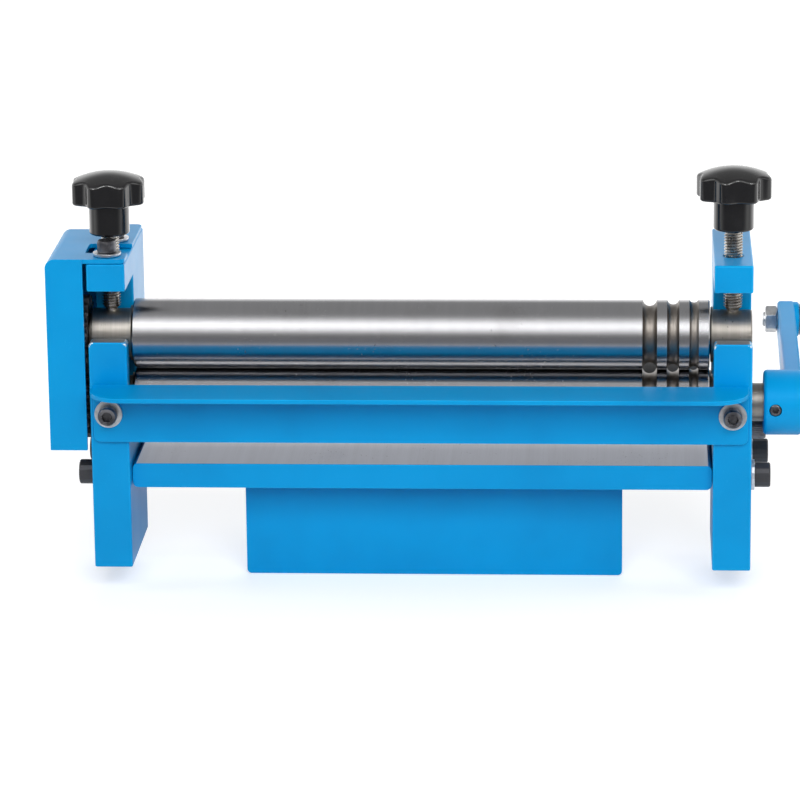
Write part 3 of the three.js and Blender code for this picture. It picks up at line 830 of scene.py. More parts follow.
@dataclass(frozen=True)
class Moulding(Finish):
    """Glossy moulded plastic with a soft waviness, fine scratches and patches of dust."""

    colour: str = "0F0F10"
    dust: str = "262628"
    roughness: float = 0.12

    def mix(self, shop: Shop) -> None:
        """Builds the finish's nodes.

        Args:
            shop: The empty node tree.
        """
        waves = shop.noise(120)
        fine = shop.noise(1500, offset=2)
        scratches = shop.between(shop.noise(700, 1, (1, 0.06, 0.3), offset=5), 0.72, 0.76)
        dusty = shop.between(shop.noise(90, 5, offset=8), 0.5, 0.75)
        shop.surface({
            "Base Color": shop.blend(dusty * 0.25 + fine * 0.08, paint(self.colour), paint(self.dust)),
            "Roughness": self.roughness + dusty * 0.14 + scratches * 0.12,
            "Specular IOR Level": 0.6,
            "Normal": shop.bump(waves + fine * 0.08 - scratches * 0.12, 0.02 * MM),
        })


BLUE = Enamel("blue_enamel", "blue_paint", "painted")
# Lighter enamel on every rounded edge: a painted highlight, together with thinner paint there.
BLUE_EDGE = Enamel("blue_enamel_edge", "blue_paint", "painted", colour="13A6E4", deep="0092D2")
# The lip's front corners: worn paint in a lighter blue with near-white chips, partly wear and partly a
# painted highlight.
BLUE_LIP = Enamel("blue_enamel_worn", "blue_paint", "painted", colour="2FB0E6", bare="E4E9EC",
                  wear=0.36)
BLUE_CAST = Enamel("blue_cast_enamel", "blue_paint", "painted", roughness=0.32)
MILLED = GroundSteel("milled_steel", "turned_steel", "milled", colour="9A9EA2", roughness=0.5,
                     ring_depth=0.002 * MM, stain_share=0.9, rings=(0.05, 1, 1))
# The base plate's milled top glows faintly, a painted reflection of the backdrop's light.
PLANED_GLOWING = GroundSteel("planed_steel", "turned_steel", "planed", colour="C8CCD6", stain="A9AEBA",
                     roughness=0.3, ring_depth=0.0008 * MM, stain_share=0.4, glow=0.45)
GROUND = GroundSteel("ground_steel", "polished_steel", "ground", roughness=0.16)
# The wire grooves are darker and rougher than the lands.
GROOVED = GroundSteel("grooved_steel", "polished_steel", "ground", colour="7C756D", stain="3A332C",
                      roughness=0.36, ring_depth=0.0012 * MM, stain_share=0.8)
TURNED = GroundSteel("turned_steel", "turned_steel", "turned", colour="A8A39C", roughness=0.33,
                     ring_depth=0.003 * MM, stain_share=0.9, marks=2.4, mark="6B6863")
# Dark steel for the rear roll: a painted shade for the nip between the rolls, seen through from the
# front.
SHADE_DARK = GroundSteel("oiled_steel", "turned_steel", "oiled", colour="4C4B49", stain="2A2724",
                    roughness=0.38, stain_share=0.5, metallic=0.6)
HOBBED = Metal("gear_steel", "gear_steel", "cut", "77787C", "3E3D3F", 0.36, rust=0.25)
BLACK = Metal("black_oxide", "black_oxide", "blackened", "7A7A7E", "4A4A4E", 0.27, 0.85)
ZINC = Metal("zinc_plate", "zinc_plate", "plated", "E0E2E4", "B8BBC0", 0.22, grain=900,
             depth=0.002 * MM)
THREADED = Metal("zinc_thread", "zinc_plate", "plated", "C4C1BC", "85817C", 0.17, rust=0.2)
PHENOLIC = Moulding("phenolic", "black_plastic", "moulded")


def dress(piece: Piece, *finishes: Finish) -> None:
    """Gives a piece its material slots.

    Args:
        piece: The piece.
        finishes: The finish of each slot.
    """
    piece.data.materials.clear()
    for finish in finishes:
        piece.data.materials.append(finish.material())


def deliver(piece: Piece, finish: Finish, *nodes: str) -> None:
    """Finishes a piece: it stands for its nodes, rides on their body and is logged.

    Args:
        piece: The finished piece.
        finish: The finish that names it.
        nodes: The CAD nodes that it stands for, the first of which names it.
    """
    if not piece.data.materials:
        dress(piece, finish)
    piece.name = f"{nodes[0]}_{finish.word}"
    piece.data.name = piece.name
    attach(piece, BODY_OF[nodes[0]])
    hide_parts(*nodes)
    log.info("%s: %d faces", piece.name, len(piece.data.polygons))


def deliver_copies(piece: Piece, finish: Finish, places: dict[str, Matrix]) -> None:
    """Delivers a copy of a piece for each of some nodes, and deletes the piece.

    Args:
        piece: The piece to copy.
        finish: The copies' finish.
        places: Each node with the place of its copy.
    """
    for node, matrix in places.items():
        deliver(copy_of(piece, node, matrix), finish, node)
    discard(piece)


def paint_faces(piece: Piece, slot: int, test: Test) -> None:
    """Gives the chosen faces another material slot.

    Args:
        piece: The piece.
        slot: The slot's number.
        test: Takes a face's middle and normal.
    """
    for face in piece.data.polygons:
        if test(face.center, face.normal):
            face.material_index = slot


# Fasteners


@dataclass(frozen=True)
class Thread:
    """An ISO thread: its outer radius, its pitch, and its tooth in shares of the pitch."""

    radius: float
    pitch: float
    steps: int = 20
    depth: float = 0.6134
    corners: tuple[float, ...] = (0, 0.31, 0.44, 0.75, 1)

    def cut(self, blank: Piece, low: float, high: float) -> Piece:
        """Threads a blank that stands on the Z axis.

        Args:
            blank: The blank, no thicker than the thread.
            low: The blank's lowest height.
            high: Its highest height.

        Returns:
            The threaded piece.
        """
        start = low - 2 * self.pitch
        root, crest = self.radius - self.depth * self.pitch, self.radius
        tooth = zip((root, crest, crest, root, root), self.corners)
        helix = trace("thread", [Vector((r, 0, start + share * self.pitch)) for r, share in tooth])
        bpy.ops.object.mode_set(mode="OBJECT")
        turns = math.ceil((high - start) / self.pitch) + 2
        modify(helix, "SCREW", axis="Z", angle=math.tau, screw_offset=self.pitch, iterations=turns,
               steps=self.steps, render_steps=self.steps, use_merge_vertices=True, merge_threshold=WELD)
        close_ends(helix)
        return combine(blank, helix, Join.KEEP)


@dataclass(frozen=True)
class CapScrew:
    """A socket cap screw with a knurled head, modelled along +Z with its seat at height 0."""

    radius: float
    head: float
    height: float
    socket: float
    ridges: int = 36
    knurl: float = 0.965
    collar: float = 0.8
    taper: float = 0.09
    floor: float = 0.45
    mouth: float = 0.9 * MM
    mouth_depth: float = 0.35 * MM
    bite: float = 0.3 * MM
    point: float = 0.6 * MM

    def headpiece(self) -> Piece:
        """The head with its knurl and its hexagon socket.

        Returns:
            The head, its edges still sharp.
        """
        r, top = self.head, self.height
        profile = [(0, 0), (r, 0), (r, top * self.collar), (r - top * self.taper, top), (0, top)]
        head = turned("head", profile, steps=2 * self.ridges)
        pitch = math.pi / self.ridges
        with editing(head):
            pick(Element.VERT, lambda at, _: at.xy.length > r - 0.1 * MM
                 and round(math.atan2(at.y, at.x) / pitch) % 2 == 0)
            bpy.ops.transform.resize(value=(self.knurl, self.knurl, 1), center_override=(0, 0, 0))
        combine(head, prism("socket", hexagon(self.socket), Plane.XY, top * self.floor, top + PAST))
        start, half, wide = top - self.mouth_depth, self.socket / 2, self.mouth
        mouth = [(0, start), (half, start), (half + wide, start + wide), (0, start + wide)]
        return combine(head, turned("mouth", mouth, steps=36))

    def fit(self, direction: Vector, *nodes: str) -> None:
        """Builds one screw and puts a copy of it in the place of each node.

        Args:
            direction: The way that the screws point, towards the head.
            nodes: The CAD nodes, all of one length.
        """
        lines = [Axis(middle_of(node), direction) for node in nodes]
        low, high = reach(nodes[0], lines[0])
        length = high - low - self.height
        screw = soften(self.headpiece(), 0.12 * MM, 1)
        r, tip = self.radius, self.point
        profile = [(0, -length), (r - tip, -length), (r, tip - length), (r, self.bite), (0, self.bite)]
        shade(combine(screw, turned("shank", profile, steps=32), Join.ADD), 28)
        seats = [Axis(line.origin + direction * (high - self.height), direction) for line in lines]
        deliver_copies(screw, BLACK, {node: seat.matrix() for node, seat in zip(nodes, seats)})


M6 = CapScrew(3 * MM, 5 * MM, 6 * MM, 5 * MM, ridges=30)
M8 = CapScrew(4 * MM, 6.5 * MM, 8 * MM, 6 * MM)
M8_SLIM = CapScrew(3 * MM, 6.5 * MM, 8 * MM, 6 * MM)
M8_THREAD = Thread(4 * MM, 1.25 * MM)
M10_THREAD = Thread(4.9 * MM, 1.5 * MM)


def washers(direction: Vector, hole: float, *nodes: str) -> None:
    """Stamped washers in the places of their nodes.

    Args:
        direction: The way that their axes run.
        hole: The radius of their hole.
        nodes: The CAD nodes, all of one size.
    """
    low, high = reach(nodes[0], Axis(middle_of(nodes[0]), direction))
    box_low, box_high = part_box(nodes[0])
    rim = max(box_high - box_low) / 2
    profile = closed([(hole, low), (rim, low), (rim, high), (hole, high)])
    ring = soften(turned("washer", profile, steps=64), 0.3 * MM)
    deliver_copies(ring, ZINC, {node: Axis(middle_of(node), direction).matrix() for node in nodes})


@dataclass(frozen=True)
class HexNut:
    """A hexagon nut with chamfered corners."""

    across: float
    hole: float
    face: float = 0.2 * MM
    corner: float = 0.1 * MM
    chamfer: float = 0.9 * MM
    mouth: float = 0.5 * MM
    edge: float = 0.15 * MM

    def fit(self, node: str, axis: Axis) -> None:
        """Makes the nut in the place of its node.

        Args:
            node: The nut's node.
            axis: The line that it sits on.
        """
        low, high = reach(node, axis)
        nut = prism(node, hexagon(self.across), Plane.XY, low, high)
        face, corner = self.across / 2 - self.face, self.across / math.sqrt(3) + self.corner
        # The cones run on past the nut's ends, because two ends in one plane can tear.
        end = face - PAST * (corner - face) / self.chamfer
        barrel = [(0, low - PAST), (end, low - PAST), (corner, low + self.chamfer),
                  (corner, high - self.chamfer), (end, high + PAST), (0, high + PAST)]
        combine(nut, turned("barrel", barrel), Join.KEEP)
        hole, wide = self.hole, self.hole + PAST
        thread = [(0, low - PAST), (wide, low - PAST), (hole, low + self.mouth),
                  (hole, high - self.mouth), (wide, high + PAST), (0, high + PAST)]
        combine(nut, turned("thread", thread, steps=48))
        deliver(place(soften(nut, self.edge, 1), axis.matrix()), ZINC, node)


M8_NUT = HexNut(13 * MM, 4.1 * MM)


# Places that the sub-assemblies share, read from the frame


@dataclass(frozen=True)
class Layout:
    """Faces of the side plates and lines of the rolls."""

    inner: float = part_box("right_side_plate")[0].x
    outer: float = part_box("right_side_plate")[1].x
    front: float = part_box("right_side_plate")[0].y
    back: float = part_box("right_side_plate")[1].y
    top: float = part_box("right_side_plate")[1].z

    def middle(self, side: Side) -> float:
        """Where the middle of a side's plate is along X."""
        return side.value * (self.inner + self.outer) / 2

    def line(self, node: str) -> Axis:
        """The line along +X through the middle of a node's height and depth."""
        middle = middle_of(node)
        return Axis(Vector((0, middle.y, middle.z)), ALONG_X)


LAYOUT = Layout()
LOWER = LAYOUT.line("drive_roll")
UPPER = LAYOUT.line("top_roll")
REAR = LAYOUT.line("rear_roll")


def parallel_key(node: str) -> None:
    """Makes a round-ended key in the place of its node.

    Args:
        node: The key's node.
    """
    low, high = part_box(node)
    key = block(node, low, high)
    round_edges(key, lambda at, way: abs(way.z) > PARALLEL, (high.y - low.y) * KEY_ROUND, 6)
    deliver(soften(key, 0.2 * MM, 1), TURNED, node)


def cut_keyway(piece: Piece, key: str, line: Axis, low: float, high: float, play: float) -> None:
    """Cuts the way of a key into a bore.

    Args:
        piece: The piece with the bore.
        key: The key's node.
        line: The bore's line.
        low: Where the piece starts along X.
        high: Where it ends.
        play: The room on each side of the key.
    """
    start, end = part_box(key)
    foot = Vector((low - PAST, start.y - play, line.origin.z))
    combine(piece, block("keyway", foot, Vector((high + PAST, end.y + play, end.z + KEY_ROOM))))


def along_x(profile: Profile) -> Profile:
    """A profile written as place along X and radius, turned into radius and height."""
    return [(radius, place) for place, radius in profile]


# Sub-assemblies


@dataclass
class SidePlates:
    """The two thick plates with legs, throats and slanted rear slots."""

    leg_depth: float = 71 * MM
    edge: float = 0.9 * MM
    slot_half: float = 13.55 * MM
    throat_top: float = 149.2 * MM
    lip_top: float = 122.2 * MM
    lip_corner: float = 2.4 * MM
    rear_half: float = 11.2 * MM
    rear_travel: float = 18.2 * MM
    shoulder: float = 25 * MM
    nut_room: float = 8.1 * MM
    nut_way: float = 42 * MM
    slot_wall: float = 9 * MM
    bolt_hole: float = 4.3 * MM
    lift_hole: float = 5.2 * MM
    tapped_hole: float = 3.3 * MM
    guard_hole_depth: float = 8.6 * MM
    cover_hole_depth: float = 11 * MM
    mouth: float = 0.5 * MM
    flush_mouth: float = 2.6 * MM
    milled_depth: float = 14 * MM
    # Where the lip's front corners are worn and painted lighter as a highlight.
    worn_height: float = 3 * MM
    worn_from: float = 7.4 * MM

    def shoulder_height(self, y: float) -> float:
        """The height of the slanted shoulder at a depth."""
        foot = REAR.origin - UP_SLOT * self.shoulder
        return foot.z + (y - foot.y) * math.tan(SLANT)

    def outline(self) -> Profile:
        """The plate seen from its side, with the throat open to the front.

        Returns:
            Its corners in order.
        """
        front, back, top = LAYOUT.front, LAYOUT.back, LAYOUT.top
        leg = front + self.leg_depth
        roll = LOWER.origin
        return [
            (front, 0), (leg, 0), (leg, self.shoulder_height(leg)), (back, self.shoulder_height(back)),
            (back, top), (front, top), (front, self.throat_top),
            (roll.y + self.slot_half, self.throat_top),
            *arc((roll.y, roll.z), self.slot_half, 0, -180, 24),
            (roll.y - self.slot_half, self.lip_top), (front, self.lip_top),
        ]

    def rear_slot(self, low: float, high: float) -> Piece:
        """The slanted slot of the rear bush as a solid.

        Args:
            low: Where it starts along X.
            high: Where it ends.

        Returns:
            The solid.
        """
        base, end = REAR.origin, REAR.origin + UP_SLOT * self.rear_travel
        turn = math.degrees(SLANT)
        shape = [*arc((base.y, base.z), self.rear_half, turn, turn - 180, 20),
                 *arc((end.y, end.z), self.rear_half, turn + 180, turn, 20)]
        return prism("rear_slot", shape, Plane.YZ, low, high)

    def drill(self, plate: Piece, axis: Axis, radius: float, low: float, high: float,
              mouth: float) -> None:
        """Drills a hole and countersinks both its ends.

        Args:
            plate: The plate.
            axis: The hole's line.
            radius: Its radius.
            low: Where it starts on the line.
            high: Where it ends.
            mouth: The countersinks' depth.
        """
        wide = radius + mouth + PAST
        profile = [(0, low - PAST), (wide, low - PAST), (radius, low + mouth), (radius, high - mouth),
                   (wide, high + PAST), (0, high + PAST)]
        combine(plate, turned("hole", profile, axis, 32))

    def plate(self, side: Side) -> Piece:
        """One plate with its holes.

        Args:
            side: The side that it stands on.

        Returns:
            The plate with its finishes.
        """
        low, high = sorted((side.value * LAYOUT.inner, side.value * LAYOUT.outer))
        plate = prism("plate", self.outline(), Plane.YZ, low, high)
        neck = LOWER.origin.y - self.slot_half
        round_edges(plate, lambda at, way: abs(way.y) > PARALLEL and abs(at.z - self.lip_top) < WELD
                    and at.y < neck, self.lip_corner, 4)
        combine(plate, self.rear_slot(low - PAST, high + PAST))
        dress(plate, BLUE, BLUE_EDGE, MILLED, BLUE_LIP)
        soften(plate, self.edge, 3, edge_slot=1)
        for node in ("base_screw_left_front", "base_screw_left_rear"):
            self.drill(plate, LAYOUT.line(node), self.bolt_hole, low, high, self.mouth)
        flush = self.flush_mouth if side is Side.LEFT else self.mouth
        self.drill(plate, LAYOUT.line("tie_bar"), self.bolt_hole, low, high, flush)
        centre, top, front = LAYOUT.middle(side), LAYOUT.top, LAYOUT.front
        lift = Axis(Vector((centre, LOWER.origin.y, 0)), NORTH)
        self.drill(plate, lift, self.lift_hole, self.throat_top, top, self.mouth)
        rear = Axis(Vector((centre, REAR.origin.y, REAR.origin.z)), UP_SLOT)
        foot = -self.shoulder
        cut_hole(plate, rear, self.bolt_hole, foot - PAST, -self.slot_wall)
        cut_hole(plate, rear, self.nut_room, foot - self.nut_way, foot, 48)
        guard = Axis(Vector((centre, 0, middle_of("guard_screw_left").z)), ALONG_Y)
        cut_hole(plate, guard, self.tapped_hole, front - PAST, front + self.guard_hole_depth, 24)
        if side is Side.LEFT:
            for node in ("cover_screw_front", "cover_screw_rear"):
                spot = Axis(Vector((centre, middle_of(node).y, 0)), NORTH)
                cut_hole(plate, spot, self.tapped_hole, top - self.cover_hole_depth, top + PAST, 24)
        self.bare(plate)
        return smooth(plate, 35)

    def bare(self, plate: Piece) -> None:
        """Leaves the lip and the throat's flanks milled, and wears the lip's front corners, whose
        lighter blue and near-white chips are partly a painted highlight.

        Args:
            plate: The plate.
        """
        roll, lip, centre = LOWER.origin, self.lip_top, LAYOUT.middle(Side.RIGHT)
        low, high = roll.y - self.slot_half - 0.1 * MM, roll.y + self.slot_half - 0.5 * MM
        paint_faces(plate, 2, lambda at, up: abs(up.x) < 0.3 and low < at.y < high
                    and roll.z - self.milled_depth < at.z < lip + 0.1 * MM)
        paint_faces(plate, 2, lambda at, up: up.z > LEVEL and abs(at.z - lip) < 0.3 * MM
                    and at.y < roll.y)
        # Worn lip corners, lighter and white-chipped, partly a painted highlight.
        paint_faces(plate, 3, lambda at, up: lip - self.worn_height < at.z < lip + 0.1 * MM
                    and at.y < low and abs(up.z) < LEVEL and abs(abs(at.x) - centre) > self.worn_from)

    def build(self) -> None:
        """Makes both plates."""
        for side in Side:
            deliver(self.plate(side), BLUE, f"{side.word}_side_plate")


@dataclass
class BasePlates:
    """The base plate with its milled top, the vise plate under it and the welds between them."""

    corner: float = 3 * MM
    vise_corner: float = 2.5 * MM
    weld_leg: float = 4 * MM
    ripple: float = 2.35 * MM
    ripples: int = 80

    def slab(self, node: str, corner: float, edge: float, *extra: Finish) -> Piece:
        """A plate with four rounded corners as seen from the front.

        Args:
            node: The CAD node whose box it fills.
            corner: The corners' radius.
            edge: The rounding of its other edges.
            extra: Finishes of its further slots.

        Returns:
            The piece.
        """
        low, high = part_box(node)
        plate = block(node, low, high)
        round_edges(plate, lambda at, way: abs(way.y) > PARALLEL, corner, 5)
        dress(plate, BLUE, BLUE_EDGE, *extra)
        return soften(plate, edge, edge_slot=1)

    def bead(self) -> Piece:
        """One weld bead along +X with a rippled crown; its square corner lies on the X axis.

        Returns:
            The bead, its middle at the origin.
        """
        section = [(0, 0), (0.93, 0), (0.8, 0.26), (0.62, 0.47), (0.47, 0.62), (0.26, 0.8), (0, 0.93)]
        bead = trace("bead", [Vector((0, -y, -z)) * self.weld_leg for y, z in closed(section)])
        bpy.ops.mesh.remove_doubles(threshold=WELD)
        sizes = (1.0, 1.05, 1.075, 1.04, 1.0)
        for before, size in pairwise(sizes):
            step = (self.ripple / (len(sizes) - 1), 0, 0)
            bpy.ops.mesh.extrude_edges_move(TRANSFORM_OT_translate={"value": step})
            ratio = size / before
            bpy.ops.transform.resize(value=(1, ratio, ratio), center_override=(0, 0, 0))
        bpy.ops.object.mode_set(mode="OBJECT")
        modify(bead, "ARRAY", count=self.ripples, use_relative_offset=False, use_constant_offset=True,
               constant_offset_displace=(self.ripple, 0, 0), use_merge_vertices=True,
               merge_threshold=WELD)
        close_ends(bead)
        return place(bead, Matrix.Translation((-self.ripple * self.ripples / 2, 0, 0)))

    def build(self) -> None:
        """Makes the plates and the two welds."""
        plate = self.slab("base_plate", self.corner, 0.5 * MM, PLANED_GLOWING)
        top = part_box("base_plate")[1].z
        # The milled top takes the glowing planed steel, a painted reflection.
        paint_faces(plate, 2, lambda at, up: up.z > LEVEL and abs(at.z - top) < 0.1 * MM)
        deliver(plate, BLUE, "base_plate")
        deliver(self.slab("vise_plate", self.vise_corner, 0.45 * MM), BLUE, "vise_plate")
        places = {}
        for node, flip in (("vise_weld_front", 1), ("vise_weld_rear", -1)):
            low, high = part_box(node)
            corner = Vector(((low.x + high.x) / 2, high.y if flip > 0 else low.y, high.z))
            places[node] = Matrix.Translation(corner) @ Matrix.Diagonal((1, flip, 1, 1))
        deliver_copies(self.bead(), BLUE_CAST, places)


@dataclass
class TieBar:
    """The bar between the plates, with a cap screw at the crank side and a flush one at the gears."""

    radius: float = 5 * MM
    chamfer: float = 0.6 * MM
    flush_length: float = 34 * MM
    shank: float = 3 * MM
    point: float = 0.4 * MM
    cone: tuple[Pair, ...] = ((3, -3.8), (6.1, -0.7), (6.2, -0.3), (0, -0.3))
    socket: float = 4.8 * MM
    socket_floor: float = -3.5 * MM

    def flush_screw(self) -> Piece:
        """A countersunk screw with a hexagon socket, along +Z, a little under height 0.

        Returns:
            The screw.
        """
        foot, r = -self.flush_length, self.shank
        profile = [(0, foot), (r - self.point, foot), (r, foot + self.point),
                   *((radius * MM, height * MM) for radius, height in self.cone)]
        screw = turned("flush_screw", profile, steps=64)
        combine(screw, prism("socket", hexagon(self.socket), Plane.XY, self.socket_floor, PAST))
        return soften(screw, 0.12 * MM, 1)

    def build(self) -> None:
        """Makes the bar and its screws."""
        low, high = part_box("tie_bar")
        profile = shaft(self.radius, low.x, high.x, self.chamfer)
        bar = turned("tie_bar", profile, LAYOUT.line("tie_bar"), 64)
        deliver(shade(bar, 30), TURNED, "tie_bar")
        spot = LAYOUT.line("tie_screw_left").origin
        seat = Axis(Vector((-LAYOUT.outer, spot.y, spot.z)), -ALONG_X)
        deliver(place(self.flush_screw(), seat.matrix()), BLACK, "tie_screw_left")
        M8_SLIM.fit(ALONG_X, "tie_screw_right")


@dataclass
class FrontGuard:
    """The folded sheet over the plates' front faces, with its lip towards the operator."""

    sheet: float = 2.35 * MM
    lip_corner: float = 18 * MM
    wall_corner: float = 3.5 * MM
    bend_out: float = 3.2 * MM
    bend_in: float = 0.9 * MM
    edge: float = 0.35 * MM
    hole: float = 3.3 * MM

    def build(self) -> None:
        """Makes the guard, its washers and its screws."""
        low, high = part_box("front_guard")
        fold = (high.y - self.bend_out, high.z - self.bend_out)
        inner = (high.y - self.sheet - self.bend_in, high.z - self.sheet - self.bend_in)
        section = [
            (high.y, low.z), *arc(fold, self.bend_out, 0, 90, 8),
            (low.y, high.z), (low.y, high.z - self.sheet),
            *arc(inner, self.bend_in, 90, 0, 5), (high.y - self.sheet, low.z),
        ]
        guard = prism("front_guard", section, Plane.YZ, low.x, high.x)
        lip = self.rounded((low.y, high.y), self.lip_corner, 16)
        combine(guard, prism("lip", lip, Plane.XY, low.z - PAST, high.z + PAST), Join.KEEP)
        wall = self.rounded((low.z, high.z), self.wall_corner, 6)
        combine(guard, prism("wall", wall, Plane.XZ, low.y - PAST, high.y + PAST), Join.KEEP)
        for side in Side:
            spot = Axis(Vector((LAYOUT.middle(side), 0, middle_of("guard_screw_left").z)), ALONG_Y)
            cut_hole(guard, spot, self.hole, high.y - 2 * self.sheet, high.y + PAST)
        dress(guard, BLUE, BLUE_EDGE)
        deliver(soften(guard, self.edge, edge_slot=1), BLUE, "front_guard")
        washers(-ALONG_Y, self.hole, "guard_washer_left", "guard_washer_right")
        M6.fit(-ALONG_Y, "guard_screw_left", "guard_screw_right")

    def rounded(self, reach_of_sheet: Pair, radius: float, steps: int) -> Profile:
        """What is kept of a sheet whose two lower corners are rounded.

        Args:
            reach_of_sheet: Where the sheet starts and ends on the outline's second axis.
            radius: The corners' radius.
            steps: How many chords each has.

        Returns:
            The outline, past the sheet on its other sides.
        """
        foot, head = reach_of_sheet
        left, right = (corner.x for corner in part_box("front_guard"))
        return [
            (right + PAST, head + PAST), (left - PAST, head + PAST), (left - PAST, foot + radius),
            *arc((left + radius, foot + radius), radius, 180, 270, steps),
            *arc((right - radius, foot + radius), radius, 270, 360, steps),
            (right + PAST, foot + radius),
        ]


@dataclass
class GearCover:
    """The folded cover over the gears, hung from its top flange."""

    sheet: float = 2.3 * MM
    bend: float = 5 * MM
    depth: float = 70 * MM
    slit: float = 2 * MM
    notch: Pair = (15 * MM, 36 * MM)
    notch_past: float = 2.2 * MM
    edge: float = 0.35 * MM
    screw_hole: float = 3.3 * MM
    through: float = 18 * MM
    tongue_corner: float = 3 * MM
    notch_corner: float = 2 * MM

    def wall_outline(self, low: Vector, high: Vector, inset: float) -> Profile:
        """The cover seen from the front.

        Args:
            low: Its lowest corner.
            high: Its highest corner.
            inset: How far inside its faces the outline lies.

        Returns:
            The corners in order.
        """
        middle = (low.x + self.bend, high.z - self.bend)
        inner = -LAYOUT.outer + (PAST if inset else -0.2 * MM)
        floor = low.z - (PAST if inset else 0)
        return [(low.x + inset, floor), (inner, floor), (inner, high.z - inset),
                (middle[0] + 0.6 * MM, high.z - inset), *arc(middle, self.bend - inset, 90, 180, 10),
                (low.x + inset, middle[1] - 0.6 * MM)]

    def build(self) -> None:
        """Makes the cover, its washers and its screws."""
        low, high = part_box("gear_cover")
        front, back = low.y, low.y + self.depth
        under, edge = high.z - self.sheet, -LAYOUT.outer
        cover = prism("gear_cover", self.wall_outline(low, high, 0), Plane.XZ, front, back)
        inside = self.wall_outline(low, high, self.sheet)
        combine(cover, prism("hollow", inside, Plane.XZ, front + self.sheet, back - self.sheet))
        combine(cover, block("slit", Vector((edge - self.slit, front - PAST, low.z - PAST)),
                             Vector((edge + PAST, front + self.sheet + PAST, under))))
        flange = block("flange", Vector((edge - self.slit, front, under)), high)
        round_edges(flange, lambda at, way: abs(way.z) > PARALLEL and at.x > edge,
                    self.tongue_corner, 5)
        combine(cover, flange, Join.ADD)
        start, end = self.notch
        notch = block("notch", Vector((edge - self.notch_past, front + start, under - PAST)),
                      Vector((high.x + PAST, front + end, high.z + PAST)))
        round_edges(notch, lambda at, way: abs(way.z) > PARALLEL and at.x < edge,
                    self.notch_corner, 4)
        combine(cover, notch)
        with editing(cover):
            bpy.ops.mesh.select_all(action="SELECT")
            bpy.ops.mesh.dissolve_limited(angle_limit=math.radians(0.5))
        for node in ("cover_screw_front", "cover_screw_rear"):
            spot = Axis(middle_of(node), NORTH)
            cut_hole(cover, spot, self.screw_hole, -self.through, self.through)
        dress(cover, BLUE, BLUE_EDGE)
        deliver(soften(cover, self.edge, edge_slot=1), BLUE, "gear_cover")
        washers(NORTH, self.screw_hole, "cover_washer_front", "cover_washer_rear")
        M6.fit(NORTH, "cover_screw_front", "cover_screw_rear")


@dataclass(frozen=True)
class BushPair:
    """Two flanged bushes of one size, one in each side plate."""

    word: str
    radius: float
    bore: float
    flange: float = 1.5 * MM
    step: float = 1.5 * MM
    chamfer: float = 0.6 * MM
    rim_chamfer: float = 0.4 * MM
    seat: float = 0.2 * MM
    oil_groove: float = 0.35 * MM

    def bush(self) -> Piece:
        """The bush of the crank side, its axis along +Z and its middle at the origin.

        Returns:
            The bush.
        """
        half = (LAYOUT.outer - LAYOUT.inner) / 2
        rim, foot = self.radius + self.step, -half - self.flange
        c, g = self.chamfer, self.oil_groove
        profile = closed([
            (self.bore + c, foot), (rim - self.rim_chamfer, foot), (rim, foot + self.rim_chamfer),
            (rim, -half - self.seat), (self.radius, -half - self.seat), (self.radius, half - c),
            (self.radius - c, half), (self.bore + 3 * g + c, half), (self.bore + 2 * g + c, half - g),
            (self.bore + c, half), (self.bore, half - c), (self.bore, foot + c),
        ])
        return turned("bush", profile)

    def build(self) -> None:
        """Makes the pair."""
        places = {}
        for side in Side:
            node = f"{self.word}_{side.word}"
            middle = LAYOUT.line(node).origin + ALONG_X * LAYOUT.middle(side)
            places[node] = Axis(middle, ALONG_X * side.value).matrix()
        deliver_copies(shade(self.bush(), 30), TURNED, places)


BUSH_PAIRS = (
    BushPair("lower_bush", 13 * MM, 10.25 * MM),
    BushPair("top_bush", 13 * MM, 10.25 * MM),
    BushPair("rear_bush", 11 * MM, 8.25 * MM),
)


